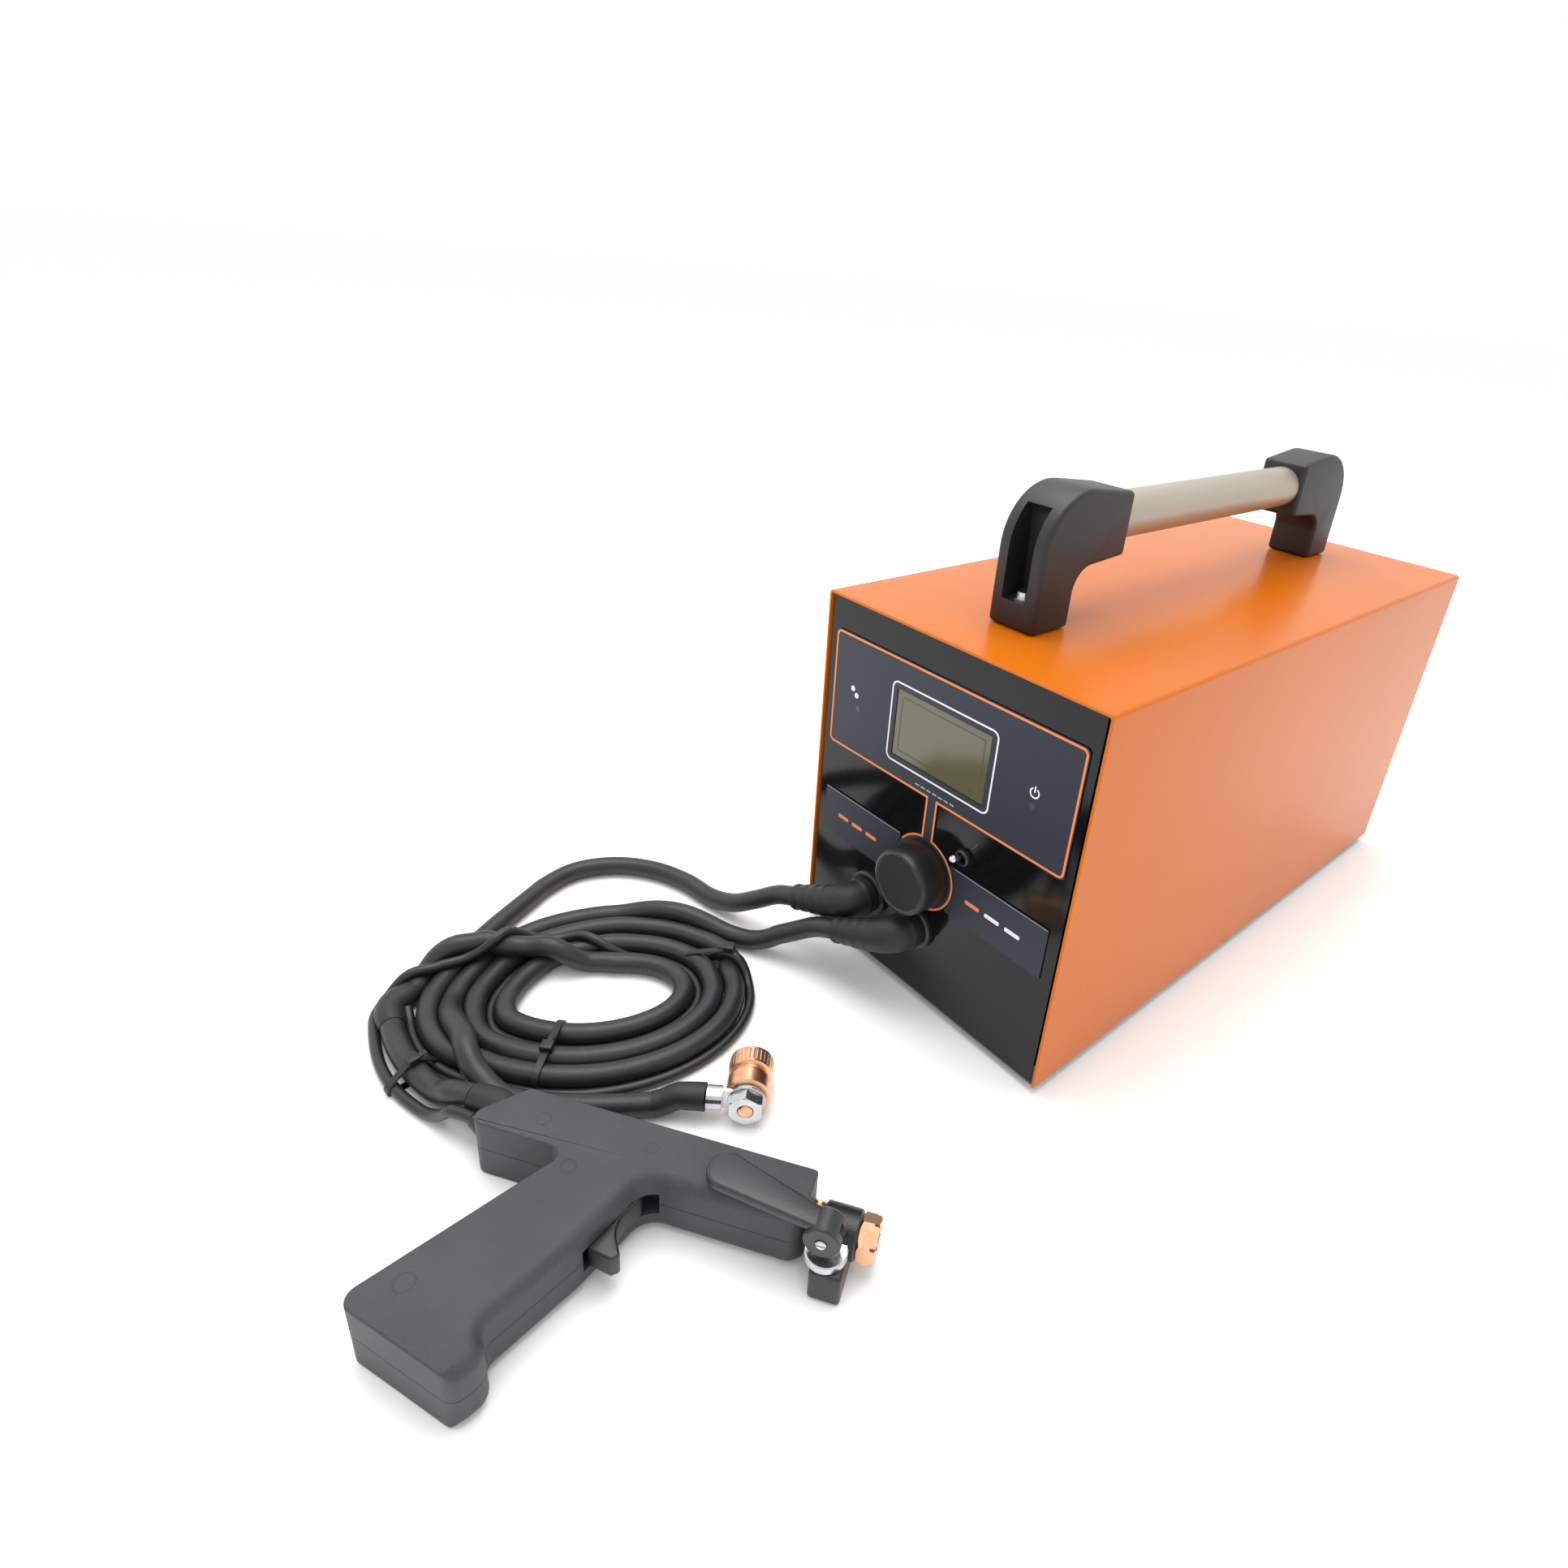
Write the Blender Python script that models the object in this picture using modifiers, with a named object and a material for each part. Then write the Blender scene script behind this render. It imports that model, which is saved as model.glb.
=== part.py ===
"""Spot welder for sheet metal: a sheet-steel case with a carrying handle, and a welding gun and
a ground terminal on two heavy cables that lie coiled on the floor in front of it.

Metres, +Z up, +Y to the back of the case. The origin is the centre of the case's underside.
"""
import math

import bmesh
import bpy
from mathutils import Matrix, Vector

# Driving dimensions of the case.
WIDTH = 0.200
LENGTH = 0.450
HEIGHT = 0.230
SHEET = 0.0015
PANEL_THICKNESS = 0.002
PANEL_RECESS = 0.0015
FOOT_HEIGHT = 0.006
FOOT_INSET = 0.022
BEAD_DEPTH = 0.0004
GAP = 0.0003

FLOOR = -FOOT_HEIGHT
FRONT = -LENGTH / 2
BACK = LENGTH / 2
PANEL_FACE = FRONT + PANEL_RECESS
PANEL_BACK = PANEL_FACE + PANEL_THICKNESS
REAR_FACE = BACK - PANEL_RECESS
REAR_INSIDE = REAR_FACE - PANEL_THICKNESS
INNER_HALF_WIDTH = WIDTH / 2 - SHEET - GAP

# The control face, in panel coordinates: x across, z up from the case's underside.
BAND_HALF_WIDTH = 0.0915
BAND_LOW = 0.134
BAND_HIGH = 0.209
OVERLAY_THICKNESS = 0.0005
KNOB_X = -0.001
KNOB_Z = 0.086
KNOB_RADIUS = 0.0205
KNOB_DEPTH = 0.020
SHAFT_RADIUS = 0.003
RING_RADIUS = 0.024
NECK_HALF_WIDTH = 0.0045
WINDOW_X = -0.0015
WINDOW_WIDTH = 0.070
WINDOW_LOW = 0.149
WINDOW_HIGH = 0.190
STRIP_LOW = 0.070
STRIP_HIGH = 0.102
TOGGLE_X = 0.027
TOGGLE_Z = 0.112
SOCKET_RADIUS = 0.0145
SOCKET_DEPTH = 0.004
SOCKET_BORE = 0.008
GUN_SOCKET = (-0.042, 0.0465)
GROUND_SOCKET = (-0.002, 0.0465)

# The carrying handle.
BRACKET_WIDTH = 0.032
BRACKET_OUTER_Y = 0.181
BRACKET_INNER_Y = 0.106
BRACKET_LEG_Y = 0.149
BRACKET_TOP = HEIGHT + 0.082
TUBE_RADIUS = 0.0138
TUBE_HEIGHT = HEIGHT + 0.055
TUBE_HALF_LENGTH = 0.126
POCKET_FLOOR = HEIGHT + 0.016
HANDLE_SCREW_Y = 0.171

# The back of the case.
FAN_X = -0.036
FAN_Z = 0.120
FAN_SIZE = 0.092
FAN_DEPTH = 0.025
FAN_BORE = 0.043
SWITCH_X = 0.058
SWITCH_Z = 0.165
GLAND_X = 0.058
GLAND_Z = 0.060

# The welding gun lies on its side. In its own frame x runs along the barrel to the nose,
# the grip hangs towards -y and z is the height above the case's underside.
GUN_PLACE = (-0.0391, -0.4480, 0.0)
GUN_TURN = math.radians(34)
GUN_LOW = FLOOR
GUN_HIGH = 0.028
GUN_MIDDLE = (GUN_LOW + GUN_HIGH) / 2
SHELL_THICKNESS = (GUN_HIGH - GUN_LOW - GAP) / 2
BARREL_LENGTH = 0.147
BARREL_DEPTH = 0.0265
REAR_DEPTH = 0.0258
BORE_Y = -0.0135
CONDUCTOR_RADIUS = 0.005
TRIGGER_PIVOT = (0.067, -0.0225)
TRIGGER_WIDTH = 0.012
LEVER_PIVOT = (0.158, -0.0282, 0.028)
LEVER_EYE_RADIUS = 0.0085

# The cables.
CABLE_RADIUS = 0.0063
CONTROL_CABLE_RADIUS = 0.003
CABLE_REST = FLOOR + CABLE_RADIUS + 0.0001
CONTROL_REST = FLOOR + CONTROL_CABLE_RADIUS + 0.0001
COIL_CENTRE = (-0.1063, -0.3813)
COIL_TURN = math.radians(61)
COIL_HALF_LENGTH = 0.082
COIL_HALF_WIDTH = 0.054
COIL_BAND = 0.023
COIL_HALF_HEIGHT = 0.0125

GUN_CABLE_LEAD = [
    (-0.0795, -0.2545, 0.0330), (-0.092, -0.2585, 0.0285), (-0.107, -0.2645, 0.0180),
    (-0.125, -0.2700, 0.0065), (-0.146, -0.2745, CABLE_REST), (-0.170, -0.279, CABLE_REST),
    (-0.195, -0.290, CABLE_REST), (-0.215, -0.309, CABLE_REST), (-0.225, -0.334, CABLE_REST),
    (-0.221, -0.358, CABLE_REST), (-0.210, -0.379, CABLE_REST),
]
GUN_CABLE_TAIL = [
    (-0.108, -0.4925, CABLE_REST), (-0.094, -0.4835, 0.0025), (-0.080, -0.4745, 0.0070),
    (-0.0665, -0.4670, 0.0100),
]
CONTROL_CABLE_TAIL = [
    (-0.112, -0.504, CONTROL_REST), (-0.096, -0.499, 0.0), (-0.077, -0.488, 0.006),
    (-0.064, -0.478, 0.010), (-0.0525, -0.4725, 0.0115),
]
GROUND_CABLE_LEAD = [
    (-0.0395, -0.2545, 0.0330), (-0.052, -0.2585, 0.0285), (-0.065, -0.2640, 0.0195),
    (-0.077, -0.2705, 0.0110), (-0.087, -0.2765, 0.0050),
]
GROUND_CABLE_TAIL = [
    (-0.0265, -0.4185, CABLE_REST), (-0.0240, -0.4080, 0.0008), (-0.0175, -0.3945, 0.0035),
    (-0.0088, -0.3835, 0.0056), (0.0004, -0.3733, 0.0062),
]

# The ground terminal: a stud through a ring lug, its axis level and turned to the front right.
TERMINAL_FACE = (0.0210, -0.3630)
TERMINAL_TURN = math.radians(-42)
TERMINAL_RADIUS = 0.0120
TERMINAL_HEIGHT = FLOOR + TERMINAL_RADIUS + 0.0002

UPRIGHT = Matrix.Rotation(math.pi / 2, 4, "X")
SIDEWAYS = Matrix(((0, 0, 1, 0), (1, 0, 0, 0), (0, 1, 0, 0), (0, 0, 0, 1)))
ALONG_Y = UPRIGHT
ALONG_X = Matrix.Rotation(math.pi / 2, 4, "Y")

ORANGE = ((0.83, 0.19, 0.012), 0.28, 0.0)
PANEL_BLACK = ((0.006, 0.006, 0.007), 0.08, 0.0)
NAVY = ((0.021, 0.024, 0.038), 0.45, 0.0)
LCD_OLIVE = ((0.10, 0.095, 0.050), 0.15, 0.0)
BLACK_PLASTIC = ((0.018, 0.018, 0.020), 0.45, 0.0)
GUN_PLASTIC = ((0.055, 0.055, 0.062), 0.55, 0.0)
RUBBER = ((0.022, 0.022, 0.024), 0.65, 0.0)
CABLE_RUBBER = ((0.035, 0.035, 0.040), 0.55, 0.0)
TUBE_METAL = ((0.55, 0.50, 0.42), 0.40, 0.8)
STEEL = ((0.60, 0.60, 0.62), 0.30, 1.0)
DARK_STEEL = ((0.05, 0.05, 0.055), 0.35, 0.9)
BRASS = ((0.80, 0.52, 0.26), 0.25, 1.0)
COPPER = ((0.78, 0.40, 0.24), 0.28, 1.0)
BOARD_GREEN = ((0.02, 0.12, 0.05), 0.5, 0.0)
CORE_STEEL = ((0.25, 0.25, 0.27), 0.5, 0.8)
WINDING_TAPE = ((0.70, 0.50, 0.12), 0.5, 0.0)
SWITCH_RED = ((0.45, 0.02, 0.02), 0.3, 0.0)


def clear_scene():
    for item in list(bpy.data.objects):
        bpy.data.objects.remove(item)


def new_collection(name):
    collection = bpy.data.collections.new(name)
    bpy.context.scene.collection.children.link(collection)
    return collection


def paint(item, finish):
    """Gives a part a Principled material of its own."""
    colour, roughness, metallic = finish
    material = bpy.data.materials.new(item.name)
    material.use_nodes = True
    shader = material.node_tree.nodes["Principled BSDF"]
    shader.inputs["Base Color"].default_value = (*colour, 1)
    shader.inputs["Roughness"].default_value = roughness
    shader.inputs["Metallic"].default_value = metallic
    item.data.materials.clear()
    item.data.materials.append(material)


def add_part(name, mesh, finish, matrix=Matrix(), parent=None):
    item = bpy.data.objects.new(name, mesh)
    PARTS.objects.link(item)
    item.parent = parent
    item.matrix_basis = matrix
    paint(item, finish)
    return item


def add_cutter(mesh, matrix=Matrix(), parent=None):
    item = bpy.data.objects.new("cutter", mesh)
    CUTTERS.objects.link(item)
    item.parent = parent
    item.matrix_basis = matrix
    item.hide_render = True
    item.display_type = "WIRE"
    return item


def combine(item, other, operation):
    modifier = item.modifiers.new(operation.lower(), "BOOLEAN")
    modifier.object = other
    modifier.operation = operation
    modifier.solver = "EXACT"


def bevel(item, width, segments=2):
    modifier = item.modifiers.new("bevel", "BEVEL")
    modifier.width = width
    modifier.segments = segments
    modifier.limit_method = "ANGLE"
    modifier.angle_limit = math.radians(40)


def set_origin(item, point):
    """Moves a part's origin to a point of its parent's frame without moving the part."""
    offset = Vector(point) - item.matrix_basis.translation
    turn = item.matrix_basis.to_3x3().inverted()
    item.data.transform(Matrix.Translation(-(turn @ offset)))
    item.matrix_basis = Matrix.Translation(offset) @ item.matrix_basis


def box_mesh(low, high):
    size = [top - bottom for bottom, top in zip(low, high)]
    centre = [(top + bottom) / 2 for bottom, top in zip(low, high)]
    shape = bmesh.new()
    bmesh.ops.create_cube(shape, size=1.0, matrix=Matrix.Translation(centre) @ Matrix.Diagonal((*size, 1)))
    return finish_mesh(shape)


def cylinder_mesh(radius, depth, segments=24, top_radius=None):
    """A cylinder or cone about Z, from z = 0 to z = depth."""
    shape = bmesh.new()
    bmesh.ops.create_cone(
        shape, cap_ends=True, segments=segments, radius1=radius,
        radius2=radius if top_radius is None else top_radius, depth=depth,
        matrix=Matrix.Translation((0, 0, depth / 2)))
    return finish_mesh(shape)


def finish_mesh(shape):
    mesh = bpy.data.meshes.new("shape")
    shape.to_mesh(mesh)
    shape.free()
    return mesh


def curve_to_mesh(curve):
    """Turns a filled or bevelled curve into one welded mesh."""
    item = bpy.data.objects.new("outline", curve)
    bpy.context.scene.collection.objects.link(item)
    evaluated = item.evaluated_get(bpy.context.evaluated_depsgraph_get())
    mesh = bpy.data.meshes.new_from_object(evaluated)
    bpy.data.objects.remove(item)
    shape = bmesh.new()
    shape.from_mesh(mesh)
    bmesh.ops.remove_doubles(shape, verts=shape.verts, dist=0.00001)
    bmesh.ops.recalc_face_normals(shape, faces=shape.faces)
    shape.to_mesh(mesh)
    shape.free()
    return mesh


def plate_mesh(outlines, thickness):
    """A flat plate about z = 0: the first outline is its edge and the others are holes."""
    curve = bpy.data.curves.new("outline", "CURVE")
    curve.dimensions = "2D"
    curve.fill_mode = "BOTH"
    curve.extrude = thickness / 2
    for outline in outlines:
        spline = curve.splines.new("POLY")
        spline.points.add(len(outline) - 1)
        for point, place in zip(spline.points, outline):
            point.co = (place[0], place[1], 0, 1)
        spline.use_cyclic_u = True
    return curve_to_mesh(curve)


def merge_flat_faces(mesh):
    shape = bmesh.new()
    shape.from_mesh(mesh)
    bmesh.ops.dissolve_limit(shape, angle_limit=math.radians(1), verts=shape.verts, edges=shape.edges)
    shape.to_mesh(mesh)
    shape.free()
    return mesh


def rectangle(low_x, low_y, high_x, high_y):
    return [(low_x, low_y), (high_x, low_y), (high_x, high_y), (low_x, high_y)]


def circle(x, y, radius, count=24):
    turn = 2 * math.pi / count
    return [(x + radius * math.cos(turn * i), y + radius * math.sin(turn * i)) for i in range(count)]


def rounded(corners, steps=4):
    """An outline through corners given as (x, y, radius), with an arc at each round corner."""
    points = []
    for index, (x, y, radius) in enumerate(corners):
        corner = Vector((x, y))
        if radius == 0:
            points.append((x, y))
            continue
        before = (Vector(corners[index - 1][:2]) - corner).normalized()
        after = (Vector(corners[(index + 1) % len(corners)][:2]) - corner).normalized()
        half = before.angle(after) / 2
        centre = corner + (before + after).normalized() * (radius / math.sin(half))
        first = corner + before * (radius / math.tan(half)) - centre
        last = corner + after * (radius / math.tan(half)) - centre
        start = math.atan2(first.y, first.x)
        sweep = math.remainder(math.atan2(last.y, last.x) - start, 2 * math.pi)
        for step in range(steps + 1):
            angle = start + sweep * step / steps
            points.append((centre.x + radius * math.cos(angle), centre.y + radius * math.sin(angle)))
    return points


def smooth_route(route, spacing):
    """Points at an even spacing along a smooth curve through the route's own points."""
    places = [Vector(place) for place in route]
    padded = [places[0] * 2 - places[1], *places, places[-1] * 2 - places[-2]]
    dense = []
    for before, start, end, after in zip(padded, padded[1:], padded[2:], padded[3:]):
        for step in range(12):
            t = step / 12
            dense.append(0.5 * (2 * start + (end - before) * t
                                + (2 * before - 5 * start + 4 * end - after) * t ** 2
                                + (3 * start - before - 3 * end + after) * t ** 3))
    dense.append(places[-1])
    lengths = [0.0]
    for start, end in zip(dense, dense[1:]):
        lengths.append(lengths[-1] + (end - start).length)
    count = max(2, round(lengths[-1] / spacing) + 1)
    points = []
    index = 0
    for step in range(count):
        wanted = lengths[-1] * step / (count - 1)
        while index < len(lengths) - 2 and lengths[index + 1] < wanted:
            index += 1
        share = (wanted - lengths[index]) / (lengths[index + 1] - lengths[index])
        points.append(dense[index].lerp(dense[index + 1], min(share, 1.0)))
    return points


def tube(name, route, radius, finish, spacing, end_radius=None, closed=False):
    """A round tube along a smooth route, tapering to end_radius if that is given."""
    points = route if closed else smooth_route(route, spacing)
    curve = bpy.data.curves.new(name, "CURVE")
    curve.dimensions = "3D"
    curve.bevel_depth = radius
    curve.bevel_resolution = 2
    curve.use_fill_caps = not closed
    spline = curve.splines.new("POLY")
    spline.points.add(len(points) - 1)
    for index, (point, place) in enumerate(zip(spline.points, points)):
        point.co = (*place, 1)
        share = index / (len(points) - 1)
        point.radius = 1 + share * ((end_radius or radius) / radius - 1)
    spline.use_cyclic_u = closed
    return add_part(name, curve_to_mesh(curve), finish)


def channel(name, section, finish, rest_y, far_y, thickness):
    """Bent sheet: an open section in x and z, drawn along y and thickened inwards."""
    shape = bmesh.new()
    near = [shape.verts.new((x, rest_y, z)) for x, z in section]
    edges = [shape.edges.new(pair) for pair in zip(near, near[1:])]
    drawn = bmesh.ops.extrude_edge_only(shape, edges=edges)
    moved = [vert for vert in drawn["geom"] if isinstance(vert, bmesh.types.BMVert)]
    bmesh.ops.translate(shape, verts=moved, vec=(0, far_y - rest_y, 0))
    item = add_part(name, finish_mesh(shape), finish)
    solid = item.modifiers.new("sheet", "SOLIDIFY")
    solid.thickness = thickness
    solid.offset = 1
    solid.use_even_offset = True
    return item


def make_case():
    """Base pan, the one-piece cover over it, and four rubber feet."""
    side = INNER_HALF_WIDTH
    pan = [(side, 0.014), (side, 0), (-side, 0), (-side, 0.014)]
    base = channel("base_pan", pan, DARK_STEEL, PANEL_FACE, REAR_FACE, SHEET)
    bead = plate_mesh([rectangle(-0.060, -0.180, 0.060, 0.180), rectangle(-0.057, -0.177, 0.057, 0.177)],
                      2 * BEAD_DEPTH)
    combine(base, add_cutter(bead), "DIFFERENCE")
    half = WIDTH / 2
    corner = 0.002
    cover = [(-half, 0), (-half, HEIGHT - corner), (-half + corner * 0.3, HEIGHT - corner * 0.3),
             (-half + corner, HEIGHT), (half - corner, HEIGHT), (half - corner * 0.3, HEIGHT - corner * 0.3),
             (half, HEIGHT - corner), (half, 0)]
    shell = channel("cover", cover, ORANGE, FRONT, BACK, SHEET)
    for sign in (-1, 1):
        hole = cylinder_mesh(0.0034, 0.02, 16)
        combine(shell, add_cutter(hole, Matrix.Translation((0, sign * HANDLE_SCREW_Y, HEIGHT - 0.01))),
                "DIFFERENCE")
    for x_sign, x_name in ((-1, "left"), (1, "right")):
        for y_sign, y_name in ((-1, "front"), (1, "rear")):
            place = Matrix.Translation((x_sign * (WIDTH / 2 - FOOT_INSET), y_sign * (LENGTH / 2 - FOOT_INSET),
                                        FLOOR))
            add_part(f"foot_{y_name}_{x_name}", cylinder_mesh(0.009, FOOT_HEIGHT - GAP, 20, 0.011), RUBBER, place)


def panel_outline():
    """The edge of the front and rear panels, which fit inside the cover and stand on the pan."""
    half = INNER_HALF_WIDTH - SHEET - GAP
    return rectangle(-half, SHEET + GAP, half, HEIGHT - SHEET - 2 * GAP)


def window_outline(margin=0.0):
    half = WINDOW_WIDTH / 2 + margin
    return rectangle(WINDOW_X - half, WINDOW_LOW - margin, WINDOW_X + half, WINDOW_HIGH + margin)


def stand_up(y):
    """The frame of an upright plate whose middle plane is at y and which faces the front."""
    return Matrix.Translation((0, y, 0)) @ UPRIGHT


def overlay_outline():
    """The membrane overlay: a wide band, a neck down from it, and a disc round the knob."""
    neck_left = KNOB_X - NECK_HALF_WIDTH
    neck_right = KNOB_X + NECK_HALF_WIDTH
    start = math.acos(NECK_HALF_WIDTH / RING_RADIUS)
    sweep = math.pi + 2 * start
    steps = 22
    disc = []
    for step in range(steps + 1):
        angle = math.pi - start + sweep * step / steps
        disc.append((KNOB_X + RING_RADIUS * math.cos(angle), KNOB_Z + RING_RADIUS * math.sin(angle), 0))
    corners = [(neck_right, BAND_LOW, 0.001), (BAND_HALF_WIDTH, BAND_LOW, 0.003),
               (BAND_HALF_WIDTH, BAND_HIGH, 0.003), (-BAND_HALF_WIDTH, BAND_HIGH, 0.003),
               (-BAND_HALF_WIDTH, BAND_LOW, 0.003), (neck_left, BAND_LOW, 0.001)]
    return rounded(corners + disc, 3)


def make_front():
    """Front panel with its overlay, label strips, display and the boards behind it."""
    holes = [window_outline(0.0006), circle(KNOB_X, KNOB_Z, 0.004, 16), circle(TOGGLE_X, TOGGLE_Z, 0.0034, 16),
             circle(*GUN_SOCKET, SOCKET_BORE + GAP, 20), circle(*GROUND_SOCKET, SOCKET_BORE + GAP, 20)]
    add_part("front_panel", plate_mesh([panel_outline(), *holes], PANEL_THICKNESS), PANEL_BLACK,
             stand_up(PANEL_FACE + PANEL_THICKNESS / 2))

    overlay_y = PANEL_FACE - GAP - OVERLAY_THICKNESS / 2
    overlay_holes = [window_outline(0.0003), circle(KNOB_X, KNOB_Z, 0.004, 16)]
    add_part("membrane_overlay", plate_mesh([overlay_outline(), *overlay_holes], OVERLAY_THICKNESS), NAVY,
             stand_up(overlay_y))

    for name, near, far in (("label_strip_left", -0.090, -0.022), ("label_strip_right", 0.019, 0.089)):
        strip = add_part(name, plate_mesh([rectangle(near, STRIP_LOW, far, STRIP_HIGH)], OVERLAY_THICKNESS), NAVY,
                         stand_up(overlay_y))
        disc = cylinder_mesh(RING_RADIUS + GAP, 0.004, 48)
        combine(strip, add_cutter(disc, Matrix.Translation((KNOB_X, overlay_y + 0.002, KNOB_Z)) @ ALONG_Y),
                "DIFFERENCE")

    add_part("display_window", plate_mesh([window_outline()], 0.0024), LCD_OLIVE, stand_up(PANEL_FACE + 0.0009))
    low, high = window_outline(0.003)[0], window_outline(0.003)[2]
    add_part("lcd_module", box_mesh((low[0], PANEL_BACK + GAP, low[1]), (high[0], PANEL_BACK + 0.008, high[1])),
             DARK_STEEL)
    add_part("control_board", box_mesh((-0.075, PANEL_BACK + 0.0125, 0.060), (0.075, PANEL_BACK + 0.0141, 0.205)),
             BOARD_GREEN)
    add_part("encoder_body", box_mesh((KNOB_X - 0.008, PANEL_BACK + 0.0043, KNOB_Z - 0.008),
                                      (KNOB_X + 0.008, PANEL_BACK + 0.0120, KNOB_Z + 0.008)), DARK_STEEL)


def make_knob():
    """Control knob on its shaft, turning about the shaft."""
    face_gap = 0.0006
    knob_back = PANEL_FACE - OVERLAY_THICKNESS - GAP - face_gap
    knob = add_part("control_knob", cylinder_mesh(KNOB_RADIUS, KNOB_DEPTH, 32, KNOB_RADIUS * 0.97),
                    BLACK_PLASTIC, Matrix.Translation((KNOB_X, knob_back, KNOB_Z)) @ ALONG_Y)
    bevel(knob, 0.0012)
    shaft_back = PANEL_BACK + 0.0040
    shaft = cylinder_mesh(SHAFT_RADIUS, shaft_back - knob_back + 0.004, 16)
    combine(knob, add_cutter(shaft, Matrix.Translation((KNOB_X, shaft_back, KNOB_Z)) @ ALONG_Y), "UNION")


def make_toggle():
    """Small toggle switch: a threaded bush in the panel and a bat lever that rocks up and down."""
    bush_depth = 0.003
    bush = add_part("toggle_bush", cylinder_mesh(0.0050, bush_depth, 20), BLACK_PLASTIC,
                    Matrix.Translation((TOGGLE_X, PANEL_FACE - GAP, TOGGLE_Z)) @ ALONG_Y)
    through = Matrix.Translation((TOGGLE_X, PANEL_FACE + 0.01, TOGGLE_Z)) @ ALONG_Y
    combine(bush, add_cutter(cylinder_mesh(0.0034, 0.02, 16), through), "DIFFERENCE")
    pivot = (TOGGLE_X, PANEL_FACE + 0.001, TOGGLE_Z)
    lever = add_part("toggle_lever", cylinder_mesh(0.0013, 0.0125, 12, 0.0021), STEEL,
                     Matrix.Translation(pivot) @ ALONG_Y @ Matrix.Rotation(math.radians(-14), 4, "X"))
    bevel(lever, 0.0008)


def make_sockets():
    """Panel sockets and the rubber elbow boots that turn each cable to the left."""
    exits = {"gun": (GUN_SOCKET, GUN_CABLE_LEAD[0]), "ground": (GROUND_SOCKET, GROUND_CABLE_LEAD[0])}
    for name, ((x, z), cable_start) in exits.items():
        collar_back = PANEL_FACE - GAP
        add_part(f"{name}_socket", cylinder_mesh(SOCKET_RADIUS, SOCKET_DEPTH, 28), DARK_STEEL,
                 Matrix.Translation((x, collar_back, z)) @ ALONG_Y)
        boot_start = Vector((x, collar_back - SOCKET_DEPTH - 3 * GAP, z))
        sleeve_end = Vector(cable_start) + Vector((4 * GAP, GAP, GAP))
        route = [boot_start, boot_start + Vector((0, -0.006, 0)), boot_start + Vector((-0.003, -0.013, -0.001)),
                 boot_start + Vector((-0.012, -0.0185, -0.0045)), sleeve_end]
        tube(f"{name}_cable_boot", route, 0.0115, RUBBER, 0.004, 0.0082)


def make_handle():
    """Two plastic brackets with a screw pocket in the outer face, and the tube between them."""
    for sign, end in ((-1, "front"), (1, "rear")):
        outer, inner, leg = sign * BRACKET_OUTER_Y, sign * BRACKET_INNER_Y, sign * BRACKET_LEG_Y
        base = HEIGHT + GAP
        profile = rounded([(outer, base, 0), (outer, BRACKET_TOP, 0.034), (inner, BRACKET_TOP - 0.009, 0.003),
                           (inner, TUBE_HEIGHT - 0.019, 0.003), (leg, TUBE_HEIGHT - 0.022, 0.014), (leg, base, 0)], 6)
        bracket = add_part(f"handle_bracket_{end}", merge_flat_faces(plate_mesh([profile], BRACKET_WIDTH)),
                           BLACK_PLASTIC, SIDEWAYS)
        bevel(bracket, 0.0030)
        pocket = merge_flat_faces(plate_mesh([rounded([
            (sign * 0.162, POCKET_FLOOR, 0.002), (sign * 0.190, POCKET_FLOOR, 0), (sign * 0.190, HEIGHT + 0.068, 0),
            (sign * 0.166, HEIGHT + 0.068, 0.006)])], 0.0155))
        combine(bracket, add_cutter(pocket, SIDEWAYS), "DIFFERENCE")
        bore = cylinder_mesh(TUBE_RADIUS + GAP, 0.040, 28)
        reach = Matrix.Translation((0, sign * (TUBE_HALF_LENGTH + GAP) + (0.040 if sign < 0 else 0), TUBE_HEIGHT))
        combine(bracket, add_cutter(bore, reach @ ALONG_Y), "DIFFERENCE")
        screw_place = Matrix.Translation((0, sign * HANDLE_SCREW_Y, HEIGHT - 0.01))
        combine(bracket, add_cutter(cylinder_mesh(0.0034, 0.03, 16), screw_place), "DIFFERENCE")
        head = add_part(f"handle_screw_{end}", cylinder_mesh(0.0050, 0.004, 20), STEEL,
                        Matrix.Translation((0, sign * HANDLE_SCREW_Y, POCKET_FLOOR + GAP)))
        shank = cylinder_mesh(0.0030, 0.026, 16)
        shank_place = Matrix.Translation((0, sign * HANDLE_SCREW_Y, POCKET_FLOOR - 0.024))
        combine(head, add_cutter(shank, shank_place), "UNION")
    add_part("handle_tube", cylinder_mesh(TUBE_RADIUS, 2 * TUBE_HALF_LENGTH, 28), TUBE_METAL,
             Matrix.Translation((0, TUBE_HALF_LENGTH, TUBE_HEIGHT)) @ ALONG_Y)


def switch_outline(half_width, half_height):
    return rectangle(SWITCH_X - half_width, SWITCH_Z - half_height, SWITCH_X + half_width, SWITCH_Z + half_height)


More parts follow.
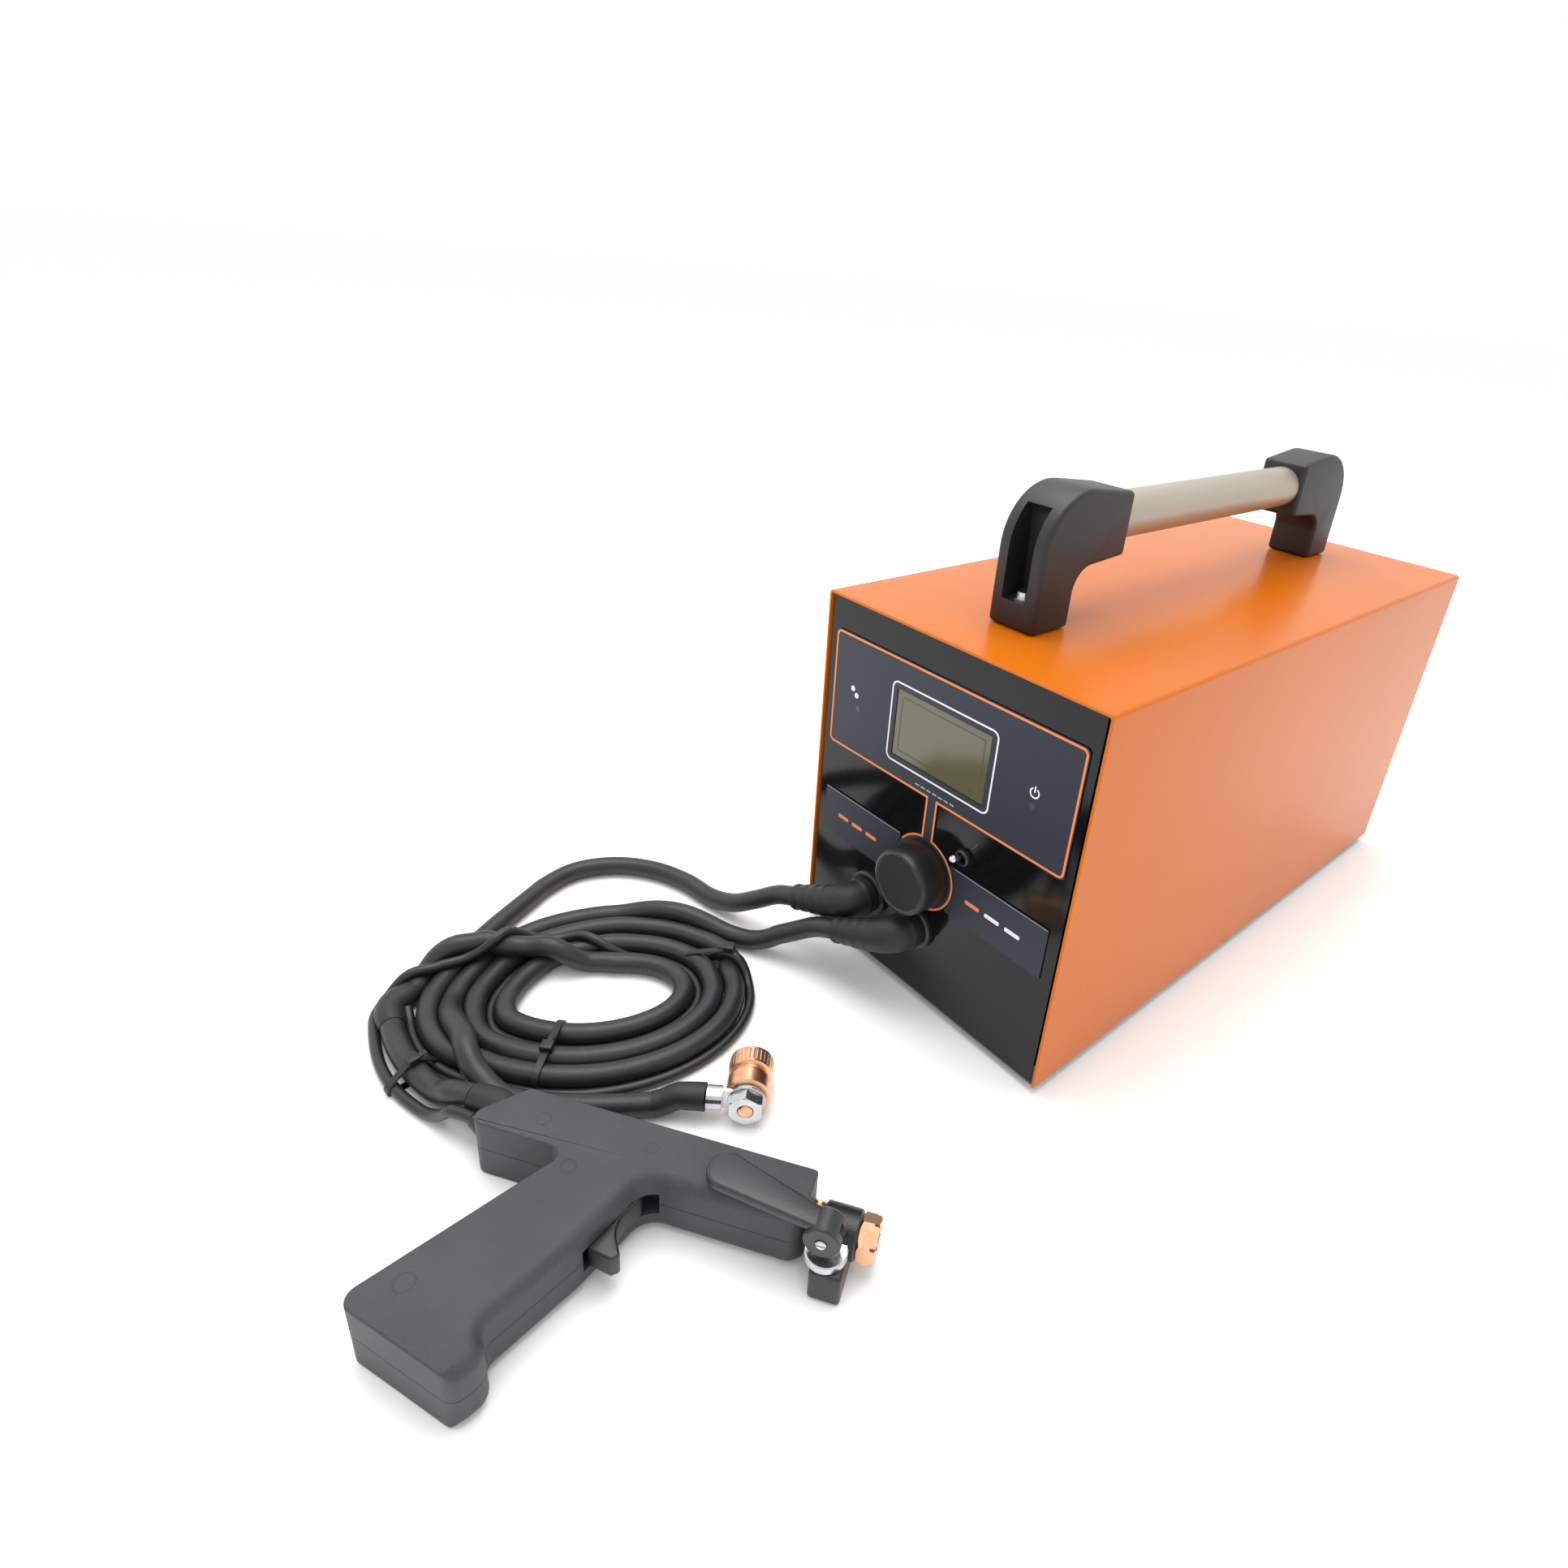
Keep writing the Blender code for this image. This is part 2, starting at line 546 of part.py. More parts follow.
def make_rear():
    """Rear panel with the cooling fan, its guard, the mains switch and the mains cable gland."""
    holes = [circle(FAN_X, FAN_Z, FAN_BORE, 28), switch_outline(0.0098, 0.0138),
             circle(GLAND_X, GLAND_Z, 0.0073, 20)]
    add_part("rear_panel", plate_mesh([panel_outline(), *holes], PANEL_THICKNESS), DARK_STEEL,
             stand_up(REAR_FACE - PANEL_THICKNESS / 2))
    half = FAN_SIZE / 2
    frame_outline = rounded([(FAN_X - half, FAN_Z - half, 0.006), (FAN_X + half, FAN_Z - half, 0.006),
                             (FAN_X + half, FAN_Z + half, 0.006), (FAN_X - half, FAN_Z + half, 0.006)])
    add_part("fan_frame", plate_mesh([frame_outline, circle(FAN_X, FAN_Z, FAN_BORE, 28)], FAN_DEPTH), BLACK_PLASTIC,
             stand_up(REAR_INSIDE - GAP - FAN_DEPTH / 2))
    make_fan_rotor()
    make_fan_guard()

    flange = 0.0015
    well = switch_outline(0.0075, 0.0115)
    body = add_part("mains_switch_body", plate_mesh([switch_outline(0.012, 0.016), well], flange),
                    BLACK_PLASTIC, stand_up(REAR_FACE + GAP + flange / 2))
    barrel = plate_mesh([switch_outline(0.0094, 0.0134), well], 0.020)
    combine(body, add_cutter(barrel, stand_up(REAR_FACE + GAP + flange - 0.0005 - 0.010)), "UNION")
    pivot = (SWITCH_X, REAR_FACE - 0.004, SWITCH_Z)
    rocker_profile = [(-0.007, -0.0095), (0.0068, -0.0105), (0.0052, 0.0), (0.0082, 0.0098), (-0.007, 0.0095)]
    rocker = add_part("mains_rocker", merge_flat_faces(plate_mesh([rocker_profile], 0.014)), SWITCH_RED,
                      Matrix.Translation(pivot) @ SIDEWAYS)
    bevel(rocker, 0.0005, 1)

    gland = add_part("mains_gland", cylinder_mesh(0.0070, 0.032, 20), BLACK_PLASTIC,
                     Matrix.Translation((GLAND_X, REAR_FACE + 0.020, GLAND_Z)) @ ALONG_Y)
    nut = cylinder_mesh(0.0120, 0.006, 6)
    combine(gland, add_cutter(nut, Matrix.Translation((GLAND_X, REAR_FACE + GAP + 0.006, GLAND_Z)) @ ALONG_Y), "UNION")
    hole = cylinder_mesh(0.0040, 0.060, 16)
    combine(gland, add_cutter(hole, Matrix.Translation((GLAND_X, REAR_FACE + 0.040, GLAND_Z)) @ ALONG_Y), "DIFFERENCE")


def make_fan_rotor():
    """Hub and seven raked blades in one piece, turning about the fan's axis."""
    rotor_y = REAR_INSIDE - GAP - FAN_DEPTH / 2
    place = Matrix.Translation((FAN_X, rotor_y, FAN_Z)) @ ALONG_Y @ Matrix.Translation((0, 0, -0.009))
    rotor = add_part("fan_rotor", cylinder_mesh(0.017, 0.018, 28), BLACK_PLASTIC, place)
    blades = bmesh.new()
    for step in range(7):
        rake = Matrix.Rotation(math.radians(35), 4, "X")
        spin = Matrix.Rotation(step * 2 * math.pi / 7, 4, "Z")
        bmesh.ops.create_cube(blades, size=1.0, matrix=spin @ Matrix.Translation((0.0275, 0, 0.009)) @ rake
                              @ Matrix.Diagonal((0.026, 0.016, 0.0015, 1)))
    combine(rotor, add_cutter(finish_mesh(blades), place), "UNION")


def make_fan_guard():
    """Wire guard: three rings and four spokes outside the rear panel."""
    guard_y = REAR_FACE + GAP + 0.0012
    place = Matrix.Translation((FAN_X, guard_y, FAN_Z)) @ UPRIGHT
    outer = [circle(0, 0, 0.0455, 28), circle(0, 0, 0.0430, 28)]
    guard = add_part("fan_guard", plate_mesh(outer, 0.0018), STEEL, place)
    for angle in (45, 135):
        bar = box_mesh((-0.044, -0.0011, -0.0007), (0.044, 0.0011, 0.0007))
        combine(guard, add_cutter(bar, place @ Matrix.Rotation(math.radians(angle), 4, "Z")), "UNION")
    for radius in (0.016, 0.025, 0.034):
        ring = plate_mesh([circle(0, 0, radius + 0.0009, 28), circle(0, 0, radius - 0.0009, 28)], 0.0016)
        combine(guard, add_cutter(ring, place), "UNION")


def make_transformer():
    """Welding transformer on the pan, with the power module on its heat sink in front of it."""
    low = SHEET + GAP
    centre_y = 0.065
    core = [rectangle(-0.050, low, 0.050, low + 0.090), rectangle(-0.022, low + 0.020, 0.022, low + 0.070)]
    add_part("transformer_core", plate_mesh(core, 0.060), CORE_STEEL, stand_up(centre_y))
    for name, x, finish in (("primary_winding", -0.036, WINDING_TAPE), ("secondary_winding", 0.036, COPPER)):
        leg = rectangle(x - 0.0143, centre_y - 0.0303, x + 0.0143, centre_y + 0.0303)
        around = rectangle(x - 0.0240, centre_y - 0.0400, x + 0.0240, centre_y + 0.0400)
        add_part(name, plate_mesh([around, leg], 0.048), finish, Matrix.Translation((0, 0, low + 0.045)))

    sink_low, sink_high = (-0.045, -0.150, low), (0.045, -0.050, low + 0.034)
    sink = add_part("heat_sink", box_mesh(sink_low, sink_high), TUBE_METAL)
    slots = bmesh.new()
    for step in range(7):
        x = -0.036 + 0.012 * step
        bmesh.ops.create_cube(slots, size=1.0, matrix=Matrix.Translation((x, -0.100, low + 0.006))
                              @ Matrix.Diagonal((0.008, 0.120, 0.032, 1)))
    combine(sink, add_cutter(finish_mesh(slots)), "DIFFERENCE")
    add_part("thyristor_module", box_mesh((-0.017, -0.140, low + 0.034 + GAP), (0.017, -0.060, low + 0.064)),
             BLACK_PLASTIC)


def gun_outline():
    """Side view of the gun: rear end, barrel, trigger bay, grip and butt."""
    return rounded([
        (0.000, 0.000, 0.002), (BARREL_LENGTH, 0.000, 0.002), (BARREL_LENGTH, -BARREL_DEPTH, 0.0075),
        (0.0730, -BARREL_DEPTH, 0.012), (0.0605, -0.0640, 0.030), (0.0425, -0.1040, 0.006),
        (0.0510, -0.1120, 0.0070), (0.0445, -0.1250, 0.0070), (-0.0150, -0.1130, 0.006),
        (0.0350, -REAR_DEPTH, 0.005), (-0.0130, -REAR_DEPTH, 0.006),
        (-0.0185, -0.0215, 0.005)], 5)


def gun_shell_mesh(side):
    """One half of the gun's shell, drawn from the middle plane towards side (1 up, -1 down).

    Its outer edges are well rounded ahead of the grip and crisp along the back.
    """
    mesh = merge_flat_faces(plate_mesh([gun_outline()], SHELL_THICKNESS))
    weights = mesh.attributes.new("bevel_weight_edge", "FLOAT", "EDGE")
    for edge in mesh.edges:
        first, second = (mesh.vertices[index].co for index in edge.vertices)
        if first.z * side < 0 or second.z * side < 0:
            continue
        middle = (first + second) / 2
        ahead_of_grip = middle.y < -0.020 and middle.x > 0.036 + 0.46 * (middle.y + 0.020)
        on_butt = middle.y < -0.108 and middle.x < 0.043
        weights.data[edge.index].value = 1.0 if ahead_of_grip and not on_butt else 0.25
    return mesh


def make_gun_shells(gun):
    """Two clam-shell halves that meet on the gun's middle plane."""
    for name, side in (("gun_shell_upper", 1), ("gun_shell_lower", -1)):
        middle = GUN_MIDDLE + side * (GAP + SHELL_THICKNESS) / 2
        shell = add_part(name, gun_shell_mesh(side), GUN_PLASTIC, Matrix.Translation((0, 0, middle)), gun)
        edge = shell.modifiers.new("round edges", "BEVEL")
        edge.width = 0.0062
        edge.segments = 3
        edge.limit_method = "WEIGHT"
        bore = Matrix.Translation((0.010, BORE_Y, GUN_MIDDLE)) @ ALONG_X
        combine(shell, add_cutter(cylinder_mesh(CONDUCTOR_RADIUS + GAP, 0.2, 20), bore, gun), "DIFFERENCE")
        slot_half = TRIGGER_WIDTH / 2 + 0.0004
        bay = box_mesh((0.0445, -0.0612, GUN_MIDDLE - slot_half), (0.0800, -0.0198, GUN_MIDDLE + slot_half))
        combine(shell, add_cutter(bay, parent=gun), "DIFFERENCE")
        pin_hole = Matrix.Translation((*TRIGGER_PIVOT, GUN_LOW + 0.003))
        combine(shell, add_cutter(cylinder_mesh(0.0019, 0.028, 12), pin_hole, gun), "DIFFERENCE")


def make_trigger(gun):
    """Finger trigger on its pin, with the micro-switch behind it in the grip."""
    outline = rounded([
        (0.0635, -0.0205, 0.002), (0.0705, -0.0205, 0.002), (0.0735, -0.0300, 0.004), (0.0680, -0.0450, 0.008),
        (0.0765, -0.0575, 0.0015), (0.0735, -0.0600, 0.001), (0.0620, -0.0585, 0.002), (0.0545, -0.0480, 0.004),
        (0.0590, -0.0330, 0.004)], 3)
    trigger = add_part("trigger", plate_mesh([outline, circle(*TRIGGER_PIVOT, 0.0018, 12)], TRIGGER_WIDTH),
                       BLACK_PLASTIC, Matrix.Translation((0, 0, GUN_MIDDLE)), gun)
    set_origin(trigger, (*TRIGGER_PIVOT, GUN_MIDDLE))
    pin = Matrix.Translation((*TRIGGER_PIVOT, GUN_LOW + 0.0033))
    add_part("trigger_pin", cylinder_mesh(0.0015, 0.0274, 12), STEEL, pin, gun)
    add_part("trigger_switch", box_mesh((0.0450, -0.0450, GUN_MIDDLE - 0.003), (0.0500, -0.0300, GUN_MIDDLE + 0.003)),
             BLACK_PLASTIC, Matrix(), gun)


def make_nose(gun):
    """Conductor with a ribbed brass neck, the electrode holder and the electrode nut."""
    start = 0.0115
    along = Matrix.Translation((0, BORE_Y, GUN_MIDDLE)) @ ALONG_X
    rod_end = 0.1705
    conductor = add_part("gun_conductor", cylinder_mesh(CONDUCTOR_RADIUS, rod_end - start, 20), BRASS,
                         Matrix.Translation((start, 0, 0)) @ along, gun)
    for rib in range(2):
        collar = cylinder_mesh(0.0098, 0.0026, 24)
        place = Matrix.Translation((BARREL_LENGTH + 0.0006 + 0.0032 * rib, 0, 0)) @ along
        combine(conductor, add_cutter(collar, place, gun), "UNION")

    holder_start, holder_end = BARREL_LENGTH + 0.0068, 0.1710
    holder = add_part("electrode_holder", cylinder_mesh(0.0108, holder_end - holder_start, 28), BLACK_PLASTIC,
                      Matrix.Translation((holder_start, 0, 0)) @ along, gun)
    foot = box_mesh((holder_start, -0.0370, GUN_LOW + 0.0004), (0.1690, -0.0135, 0.0120))
    combine(holder, add_cutter(foot, parent=gun), "UNION")
    bore = Matrix.Translation((0.14, BORE_Y, GUN_MIDDLE)) @ ALONG_X
    combine(holder, add_cutter(cylinder_mesh(CONDUCTOR_RADIUS + GAP, 0.05, 20), bore, gun), "DIFFERENCE")

    nut = add_part("electrode_nut", cylinder_mesh(0.0105, 0.0085, 6), COPPER,
                   Matrix.Translation((holder_end + GAP, BORE_Y, GUN_MIDDLE)) @ ALONG_X, gun)
    bevel(nut, 0.0012, 1)
    hole = Matrix.Translation((holder_end + 0.003, BORE_Y, GUN_MIDDLE)) @ ALONG_X
    combine(nut, add_cutter(cylinder_mesh(0.0055, 0.02, 20), hole, gun), "DIFFERENCE")


def make_clamp(gun):
    """Locking lever on the nose: a post with a lug, a cross pin and the lever that turns on it."""
    x, y, z = LEVER_PIVOT
    post_low = 0.0120 + GAP
    ring = add_part("clamp_post", cylinder_mesh(0.0098, 0.0040, 28), STEEL,
                    Matrix.Translation((x + 0.001, y + 0.0012, post_low)), gun)
    beside_holder = Matrix.Translation((0.14, BORE_Y, GUN_MIDDLE)) @ ALONG_X
    combine(ring, add_cutter(cylinder_mesh(0.0108 + GAP, 0.05, 28), beside_holder, gun), "DIFFERENCE")
    lug_half = 0.0021
    lug = box_mesh((x - 0.0050, y - lug_half, post_low + 0.001), (x + 0.0050, y + lug_half, z))
    combine(ring, add_cutter(lug, parent=gun), "UNION")
    lug_top = Matrix.Translation((x, y + lug_half, z)) @ ALONG_Y
    combine(ring, add_cutter(cylinder_mesh(0.0050, 2 * lug_half, 20), lug_top, gun), "UNION")
    cross = Matrix.Translation((x, y + 0.02, z)) @ ALONG_Y
    combine(ring, add_cutter(cylinder_mesh(0.0028, 0.04, 16), cross, gun), "DIFFERENCE")

    eye_half = 0.0062
    lever = add_part("clamp_lever", cylinder_mesh(LEVER_EYE_RADIUS, 2 * eye_half, 28), GUN_PLASTIC,
                     Matrix.Translation((x, y + eye_half, z)) @ ALONG_Y, gun)
    arm = merge_flat_faces(plate_mesh([rounded([
        (x - 0.002, y + eye_half - 0.001, 0), (0.1010, -0.0060, 0.009), (0.0990, -0.0265, 0.009),
        (x - 0.002, y - eye_half + 0.001, 0)], 6)], 0.0050))
    arm_height = z + LEVER_EYE_RADIUS - 0.0025 - 0.0002
    combine(lever, add_cutter(arm, Matrix.Translation((0, 0, arm_height)), gun), "UNION")
    fork = box_mesh((x - 0.0110, y - lug_half - GAP, z - 0.010), (x + 0.0110, y + lug_half + GAP, z + 0.0054))
    combine(lever, add_cutter(fork, parent=gun), "DIFFERENCE")
    combine(lever, add_cutter(cylinder_mesh(0.0028, 0.04, 16), cross, gun), "DIFFERENCE")
    set_origin(lever, LEVER_PIVOT)
    pin = Matrix.Translation((x, y + eye_half + 0.001, z)) @ ALONG_Y
    add_part("clamp_pin", cylinder_mesh(0.0025, 2 * eye_half + 0.002, 16), STEEL, pin, gun)


def make_gun():
    gun = bpy.data.objects.new("welding_gun", None)
    PARTS.objects.link(gun)
    gun.matrix_basis = Matrix.Translation(GUN_PLACE) @ Matrix.Rotation(GUN_TURN, 4, "Z")
    make_gun_shells(gun)
    make_trigger(gun)
    make_nose(gun)
    make_clamp(gun)


def make_reliefs():
    """Rubber sleeves where the two cables enter the rear of the gun."""
    heavy = Vector(GUN_CABLE_TAIL[-1]) + Vector((3 * GAP, GAP, 0))
    tube("gun_cable_relief", [(-0.0425, -0.4582, 0.0110), (-0.0535, -0.4602, 0.0112), heavy], 0.0086, RUBBER,
         0.004, 0.0076)
    light = Vector(CONTROL_CABLE_TAIL[-1]) + Vector((4 * GAP, GAP, 0))
    tube("control_cable_relief", [(-0.0425, -0.4712, 0.0118), light], 0.0038, RUBBER, 0.004)


def make_ground_terminal():
    """Copper contact, ring lug and hex nut on the end of the ground cable."""
    place = Matrix.Translation((*TERMINAL_FACE, TERMINAL_HEIGHT)) @ Matrix.Rotation(TERMINAL_TURN, 4, "Z") @ ALONG_X
    nut_depth, lug_depth, contact_depth = 0.0070, 0.0022, 0.0250
    nut = add_part("ground_nut", cylinder_mesh(0.0098, nut_depth, 6), STEEL,
                   place @ Matrix.Translation((0, 0, -nut_depth)))
    bevel(nut, 0.0006, 1)
    hole = cylinder_mesh(0.0043, 0.02, 20)
    combine(nut, add_cutter(hole, place @ Matrix.Translation((0, 0, -0.014))), "DIFFERENCE")

    lug_back = nut_depth + GAP + lug_depth
    lug = add_part("ground_lug", cylinder_mesh(0.0095, lug_depth, 24), STEEL,
                   place @ Matrix.Translation((0, 0, -lug_back)))
    tongue = box_mesh((-0.0060, -0.0150, -lug_back), (0.0060, 0, -lug_back + lug_depth))
    combine(lug, add_cutter(tongue, place), "UNION")
    crimp = Matrix.Translation((0, -0.0128, -lug_back + lug_depth / 2)) @ ALONG_Y
    combine(lug, add_cutter(cylinder_mesh(0.0062, 0.0080, 20), place @ crimp), "UNION")
    combine(lug, add_cutter(hole.copy(), place @ Matrix.Translation((0, 0, -0.014))), "DIFFERENCE")

    contact_back = lug_back + GAP + contact_depth
    contact = add_part("ground_contact", cylinder_mesh(TERMINAL_RADIUS, contact_depth, 28), COPPER,
                       place @ Matrix.Translation((0, 0, -contact_back)))
    waist = plate_mesh([circle(0, 0, 0.02, 28), circle(0, 0, 0.0100, 28)], 0.0030)
    combine(contact, add_cutter(waist, place @ Matrix.Translation((0, 0, -contact_back + 0.0135))), "DIFFERENCE")
    stud = cylinder_mesh(0.0040, lug_back + 0.008, 16)
    combine(contact, add_cutter(stud, place @ Matrix.Translation((0, 0, -lug_back - 0.005))), "UNION")


def make_cables():
    """The stretches of cable that aren't coiled, and one solid for the coiled turns."""
    tube("gun_cable_lead", GUN_CABLE_LEAD, CABLE_RADIUS, CABLE_RUBBER, 0.016)
    tube("gun_cable_tail", GUN_CABLE_TAIL, CABLE_RADIUS, CABLE_RUBBER, 0.012)
    tube("control_cable_tail", CONTROL_CABLE_TAIL, CONTROL_CABLE_RADIUS, CABLE_RUBBER, 0.012)
    tube("ground_cable_lead", GROUND_CABLE_LEAD, CABLE_RADIUS, CABLE_RUBBER, 0.012)
    tube("ground_cable_tail", GROUND_CABLE_TAIL, CABLE_RADIUS, CABLE_RUBBER, 0.012)

    count = 28
    loop = []
    for step in range(count):
        angle = 2 * math.pi * step / count
        loop.append((COIL_HALF_LENGTH * math.cos(angle), COIL_HALF_WIDTH * math.sin(angle), 0))
    coil = tube("cable_coil", loop, COIL_BAND, CABLE_RUBBER, 0.0, closed=True)
    coil.data.transform(Matrix.Diagonal((1, 1, COIL_HALF_HEIGHT / COIL_BAND, 1)))
    centre = Matrix.Translation((*COIL_CENTRE, FLOOR + COIL_HALF_HEIGHT + 0.0001))
    coil.matrix_basis = centre @ Matrix.Rotation(COIL_TURN, 4, "Z")


clear_scene()
PARTS = new_collection("spot_welder")
CUTTERS = new_collection("cutters")
make_case()
make_front()
make_knob()
make_toggle()
make_sockets()
make_handle()
make_rear()
make_transformer()
make_gun()
make_reliefs()
make_ground_terminal()
make_cables()
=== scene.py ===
"""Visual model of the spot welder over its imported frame: camera, cables, finer shapes, materials, light."""
import math

import bmesh
import bpy
import numpy as np
from mathutils import Matrix, Vector


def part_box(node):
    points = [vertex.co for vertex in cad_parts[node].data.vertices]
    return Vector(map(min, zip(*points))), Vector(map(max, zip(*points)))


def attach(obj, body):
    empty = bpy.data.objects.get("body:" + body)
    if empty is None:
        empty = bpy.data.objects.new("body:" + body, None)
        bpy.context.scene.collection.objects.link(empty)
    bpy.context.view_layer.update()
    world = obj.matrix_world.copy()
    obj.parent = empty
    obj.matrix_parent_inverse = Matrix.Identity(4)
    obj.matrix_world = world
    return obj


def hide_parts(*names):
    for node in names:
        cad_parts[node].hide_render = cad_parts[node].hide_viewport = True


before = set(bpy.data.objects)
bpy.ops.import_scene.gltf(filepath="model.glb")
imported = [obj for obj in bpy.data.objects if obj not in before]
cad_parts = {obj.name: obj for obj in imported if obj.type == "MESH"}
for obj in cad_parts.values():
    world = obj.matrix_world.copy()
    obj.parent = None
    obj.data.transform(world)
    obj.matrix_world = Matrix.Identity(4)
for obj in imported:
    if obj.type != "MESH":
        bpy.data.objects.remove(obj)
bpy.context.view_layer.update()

MACHINE = "machine"
FLOOR = -0.006
GAP = 0.0003
CLEARANCE = 0.0001

# ---------------------------------------------------------------- materials


def socket(shader, name, value):
    shader.inputs[name].default_value = value


def make_material(name, color, roughness, metallic=0.0, mottle=0.08, grain=900.0, bump=0.08,
                  rough_spread=0.06, coat=0.0, specular=0.5, stretch=(1, 1, 1), big=14.0):
    """A surface with slow colour drift, fine grain in its bump and a little change in its gloss."""
    material = bpy.data.materials.new(name)
    material.use_nodes = True
    nodes, links = material.node_tree.nodes, material.node_tree.links
    shader = nodes["Principled BSDF"]
    place = nodes.new("ShaderNodeTexCoord")
    mapping = nodes.new("ShaderNodeMapping")
    mapping.inputs["Scale"].default_value = stretch
    links.new(place.outputs["Object"], mapping.inputs["Vector"])

    drift = nodes.new("ShaderNodeTexNoise")
    drift.inputs["Scale"].default_value = big
    drift.inputs["Detail"].default_value = 5
    links.new(mapping.outputs["Vector"], drift.inputs["Vector"])
    colors = nodes.new("ShaderNodeValToRGB")
    dark = [channel * (1 - mottle) for channel in color]
    light = [min(1.0, channel * (1 + mottle)) for channel in color]
    colors.color_ramp.elements[0].position = 0.30
    colors.color_ramp.elements[0].color = (*dark, 1)
    colors.color_ramp.elements[1].position = 0.72
    colors.color_ramp.elements[1].color = (*light, 1)
    links.new(drift.outputs["Fac"], colors.inputs["Fac"])
    links.new(colors.outputs["Color"], shader.inputs["Base Color"])

    fine = nodes.new("ShaderNodeTexNoise")
    fine.inputs["Scale"].default_value = grain
    fine.inputs["Detail"].default_value = 3
    links.new(mapping.outputs["Vector"], fine.inputs["Vector"])
    gloss = nodes.new("ShaderNodeMapRange")
    gloss.inputs["To Min"].default_value = max(0.03, roughness - rough_spread)
    gloss.inputs["To Max"].default_value = min(1.0, roughness + rough_spread)
    links.new(fine.outputs["Fac"], gloss.inputs["Value"])
    links.new(gloss.outputs["Result"], shader.inputs["Roughness"])
    relief = nodes.new("ShaderNodeBump")
    relief.inputs["Strength"].default_value = bump
    relief.inputs["Distance"].default_value = 0.0004
    links.new(fine.outputs["Fac"], relief.inputs["Height"])
    links.new(relief.outputs["Normal"], shader.inputs["Normal"])

    socket(shader, "Metallic", metallic)
    socket(shader, "Specular IOR Level", specular)
    socket(shader, "Coat Weight", coat)
    socket(shader, "Coat Roughness", 0.12)
    return material


ORANGE = make_material("orange_powder_coat", (0.56, 0.132, 0.0025), 0.26, mottle=0.05, grain=1500,
    bump=0.10, rough_spread=0.05, coat=0.08, specular=0.22, big=6)
GLOSS_BLACK = make_material("gloss_black_panel", (0.0035, 0.0035, 0.004), 0.10, mottle=0.2, grain=700,
    bump=0.01, rough_spread=0.03, specular=0.32)
NAVY = make_material("navy_membrane", (0.020, 0.023, 0.038), 0.38, mottle=0.06, grain=2600, bump=0.12,
    specular=0.35)
OUTLINE = make_material("orange_print", (0.78, 0.22, 0.055), 0.45, mottle=0.05, grain=2000, bump=0.03)
WHITE_PRINT = make_material("white_print", (0.78, 0.79, 0.82), 0.45, mottle=0.03, grain=2000, bump=0.03)
GREY_PRINT = make_material("grey_print", (0.30, 0.31, 0.34), 0.45, mottle=0.05, grain=2000, bump=0.03)
LED_WINDOW = make_material("led_window", (0.050, 0.052, 0.062), 0.25, mottle=0.05, grain=1500, bump=0.02)
LCD = make_material("lcd_glass", (0.100, 0.092, 0.046), 0.12, mottle=0.05, grain=900, bump=0.005,
    rough_spread=0.02, coat=0.4, big=40)
LCD_FAINT = make_material("lcd_segments", (0.082, 0.075, 0.038), 0.25, mottle=0.02, grain=900, bump=0.0)
KNOB_BLACK = make_material("knob_black", (0.011, 0.011, 0.012), 0.36, mottle=0.12, grain=2600, bump=0.12)
BLACK_PLASTIC = make_material("moulded_black_plastic", (0.0105, 0.0105, 0.0115), 0.42, mottle=0.14,
    grain=2400, bump=0.30, rough_spread=0.08)
GUN_PLASTIC = make_material("textured_grey_plastic", (0.040, 0.040, 0.045), 0.50, mottle=0.16,
    grain=1900, bump=0.75, rough_spread=0.10, big=30)
LEVER_PLASTIC = make_material("satin_grey_plastic", (0.026, 0.026, 0.029), 0.34, mottle=0.14, grain=1600,
    bump=0.22, big=40)
GUN_FRONT = make_material("worn_black_plastic", (0.012, 0.012, 0.014), 0.34, mottle=0.25, grain=1700,
    bump=0.35, rough_spread=0.10, big=40)
CABLE = make_material("cable_rubber", (0.016, 0.016, 0.018), 0.42, mottle=0.22, grain=1300, bump=0.35,
    rough_spread=0.12, big=45)
THIN_CABLE = make_material("thin_cable_pvc", (0.013, 0.013, 0.015), 0.38, mottle=0.18, grain=1600,
    bump=0.2, big=60)
RUBBER = make_material("black_rubber", (0.009, 0.009, 0.010), 0.50, mottle=0.2, grain=1800, bump=0.4, big=50)
NYLON = make_material("nylon_tie", (0.010, 0.010, 0.011), 0.40, mottle=0.12, grain=2200, bump=0.1)
FOOT_RUBBER = make_material("foot_rubber", (0.018, 0.018, 0.018), 0.75, mottle=0.15, grain=1500, bump=0.4)
TUBE_METAL = make_material("anodised_aluminium", (0.42, 0.375, 0.305), 0.42, metallic=0.55, mottle=0.07,
    grain=900, bump=0.10, stretch=(1, 0.06, 1), big=60)
STEEL = make_material("plated_steel", (0.62, 0.62, 0.64), 0.26, metallic=1.0, mottle=0.14, grain=900,
    bump=0.10, big=90)
DARK_STEEL = make_material("blackened_steel", (0.045, 0.045, 0.050), 0.36, metallic=0.7, mottle=0.2,
    grain=1200, bump=0.15, big=60)
PANEL_STEEL = make_material("black_powder_coat", (0.014, 0.014, 0.015), 0.45, mottle=0.1, grain=1600,
    bump=0.5)
BRASS = make_material("brass", (0.86, 0.56, 0.25), 0.24, metallic=1.0, mottle=0.12, grain=1100,
    bump=0.10, big=90)
COPPER = make_material("copper_bronze", (0.84, 0.47, 0.29), 0.30, metallic=1.0, mottle=0.18, grain=1100,
    bump=0.15, big=120)
BOARD_GREEN = make_material("circuit_board", (0.02, 0.12, 0.05), 0.45, mottle=0.2, grain=600, bump=0.2)
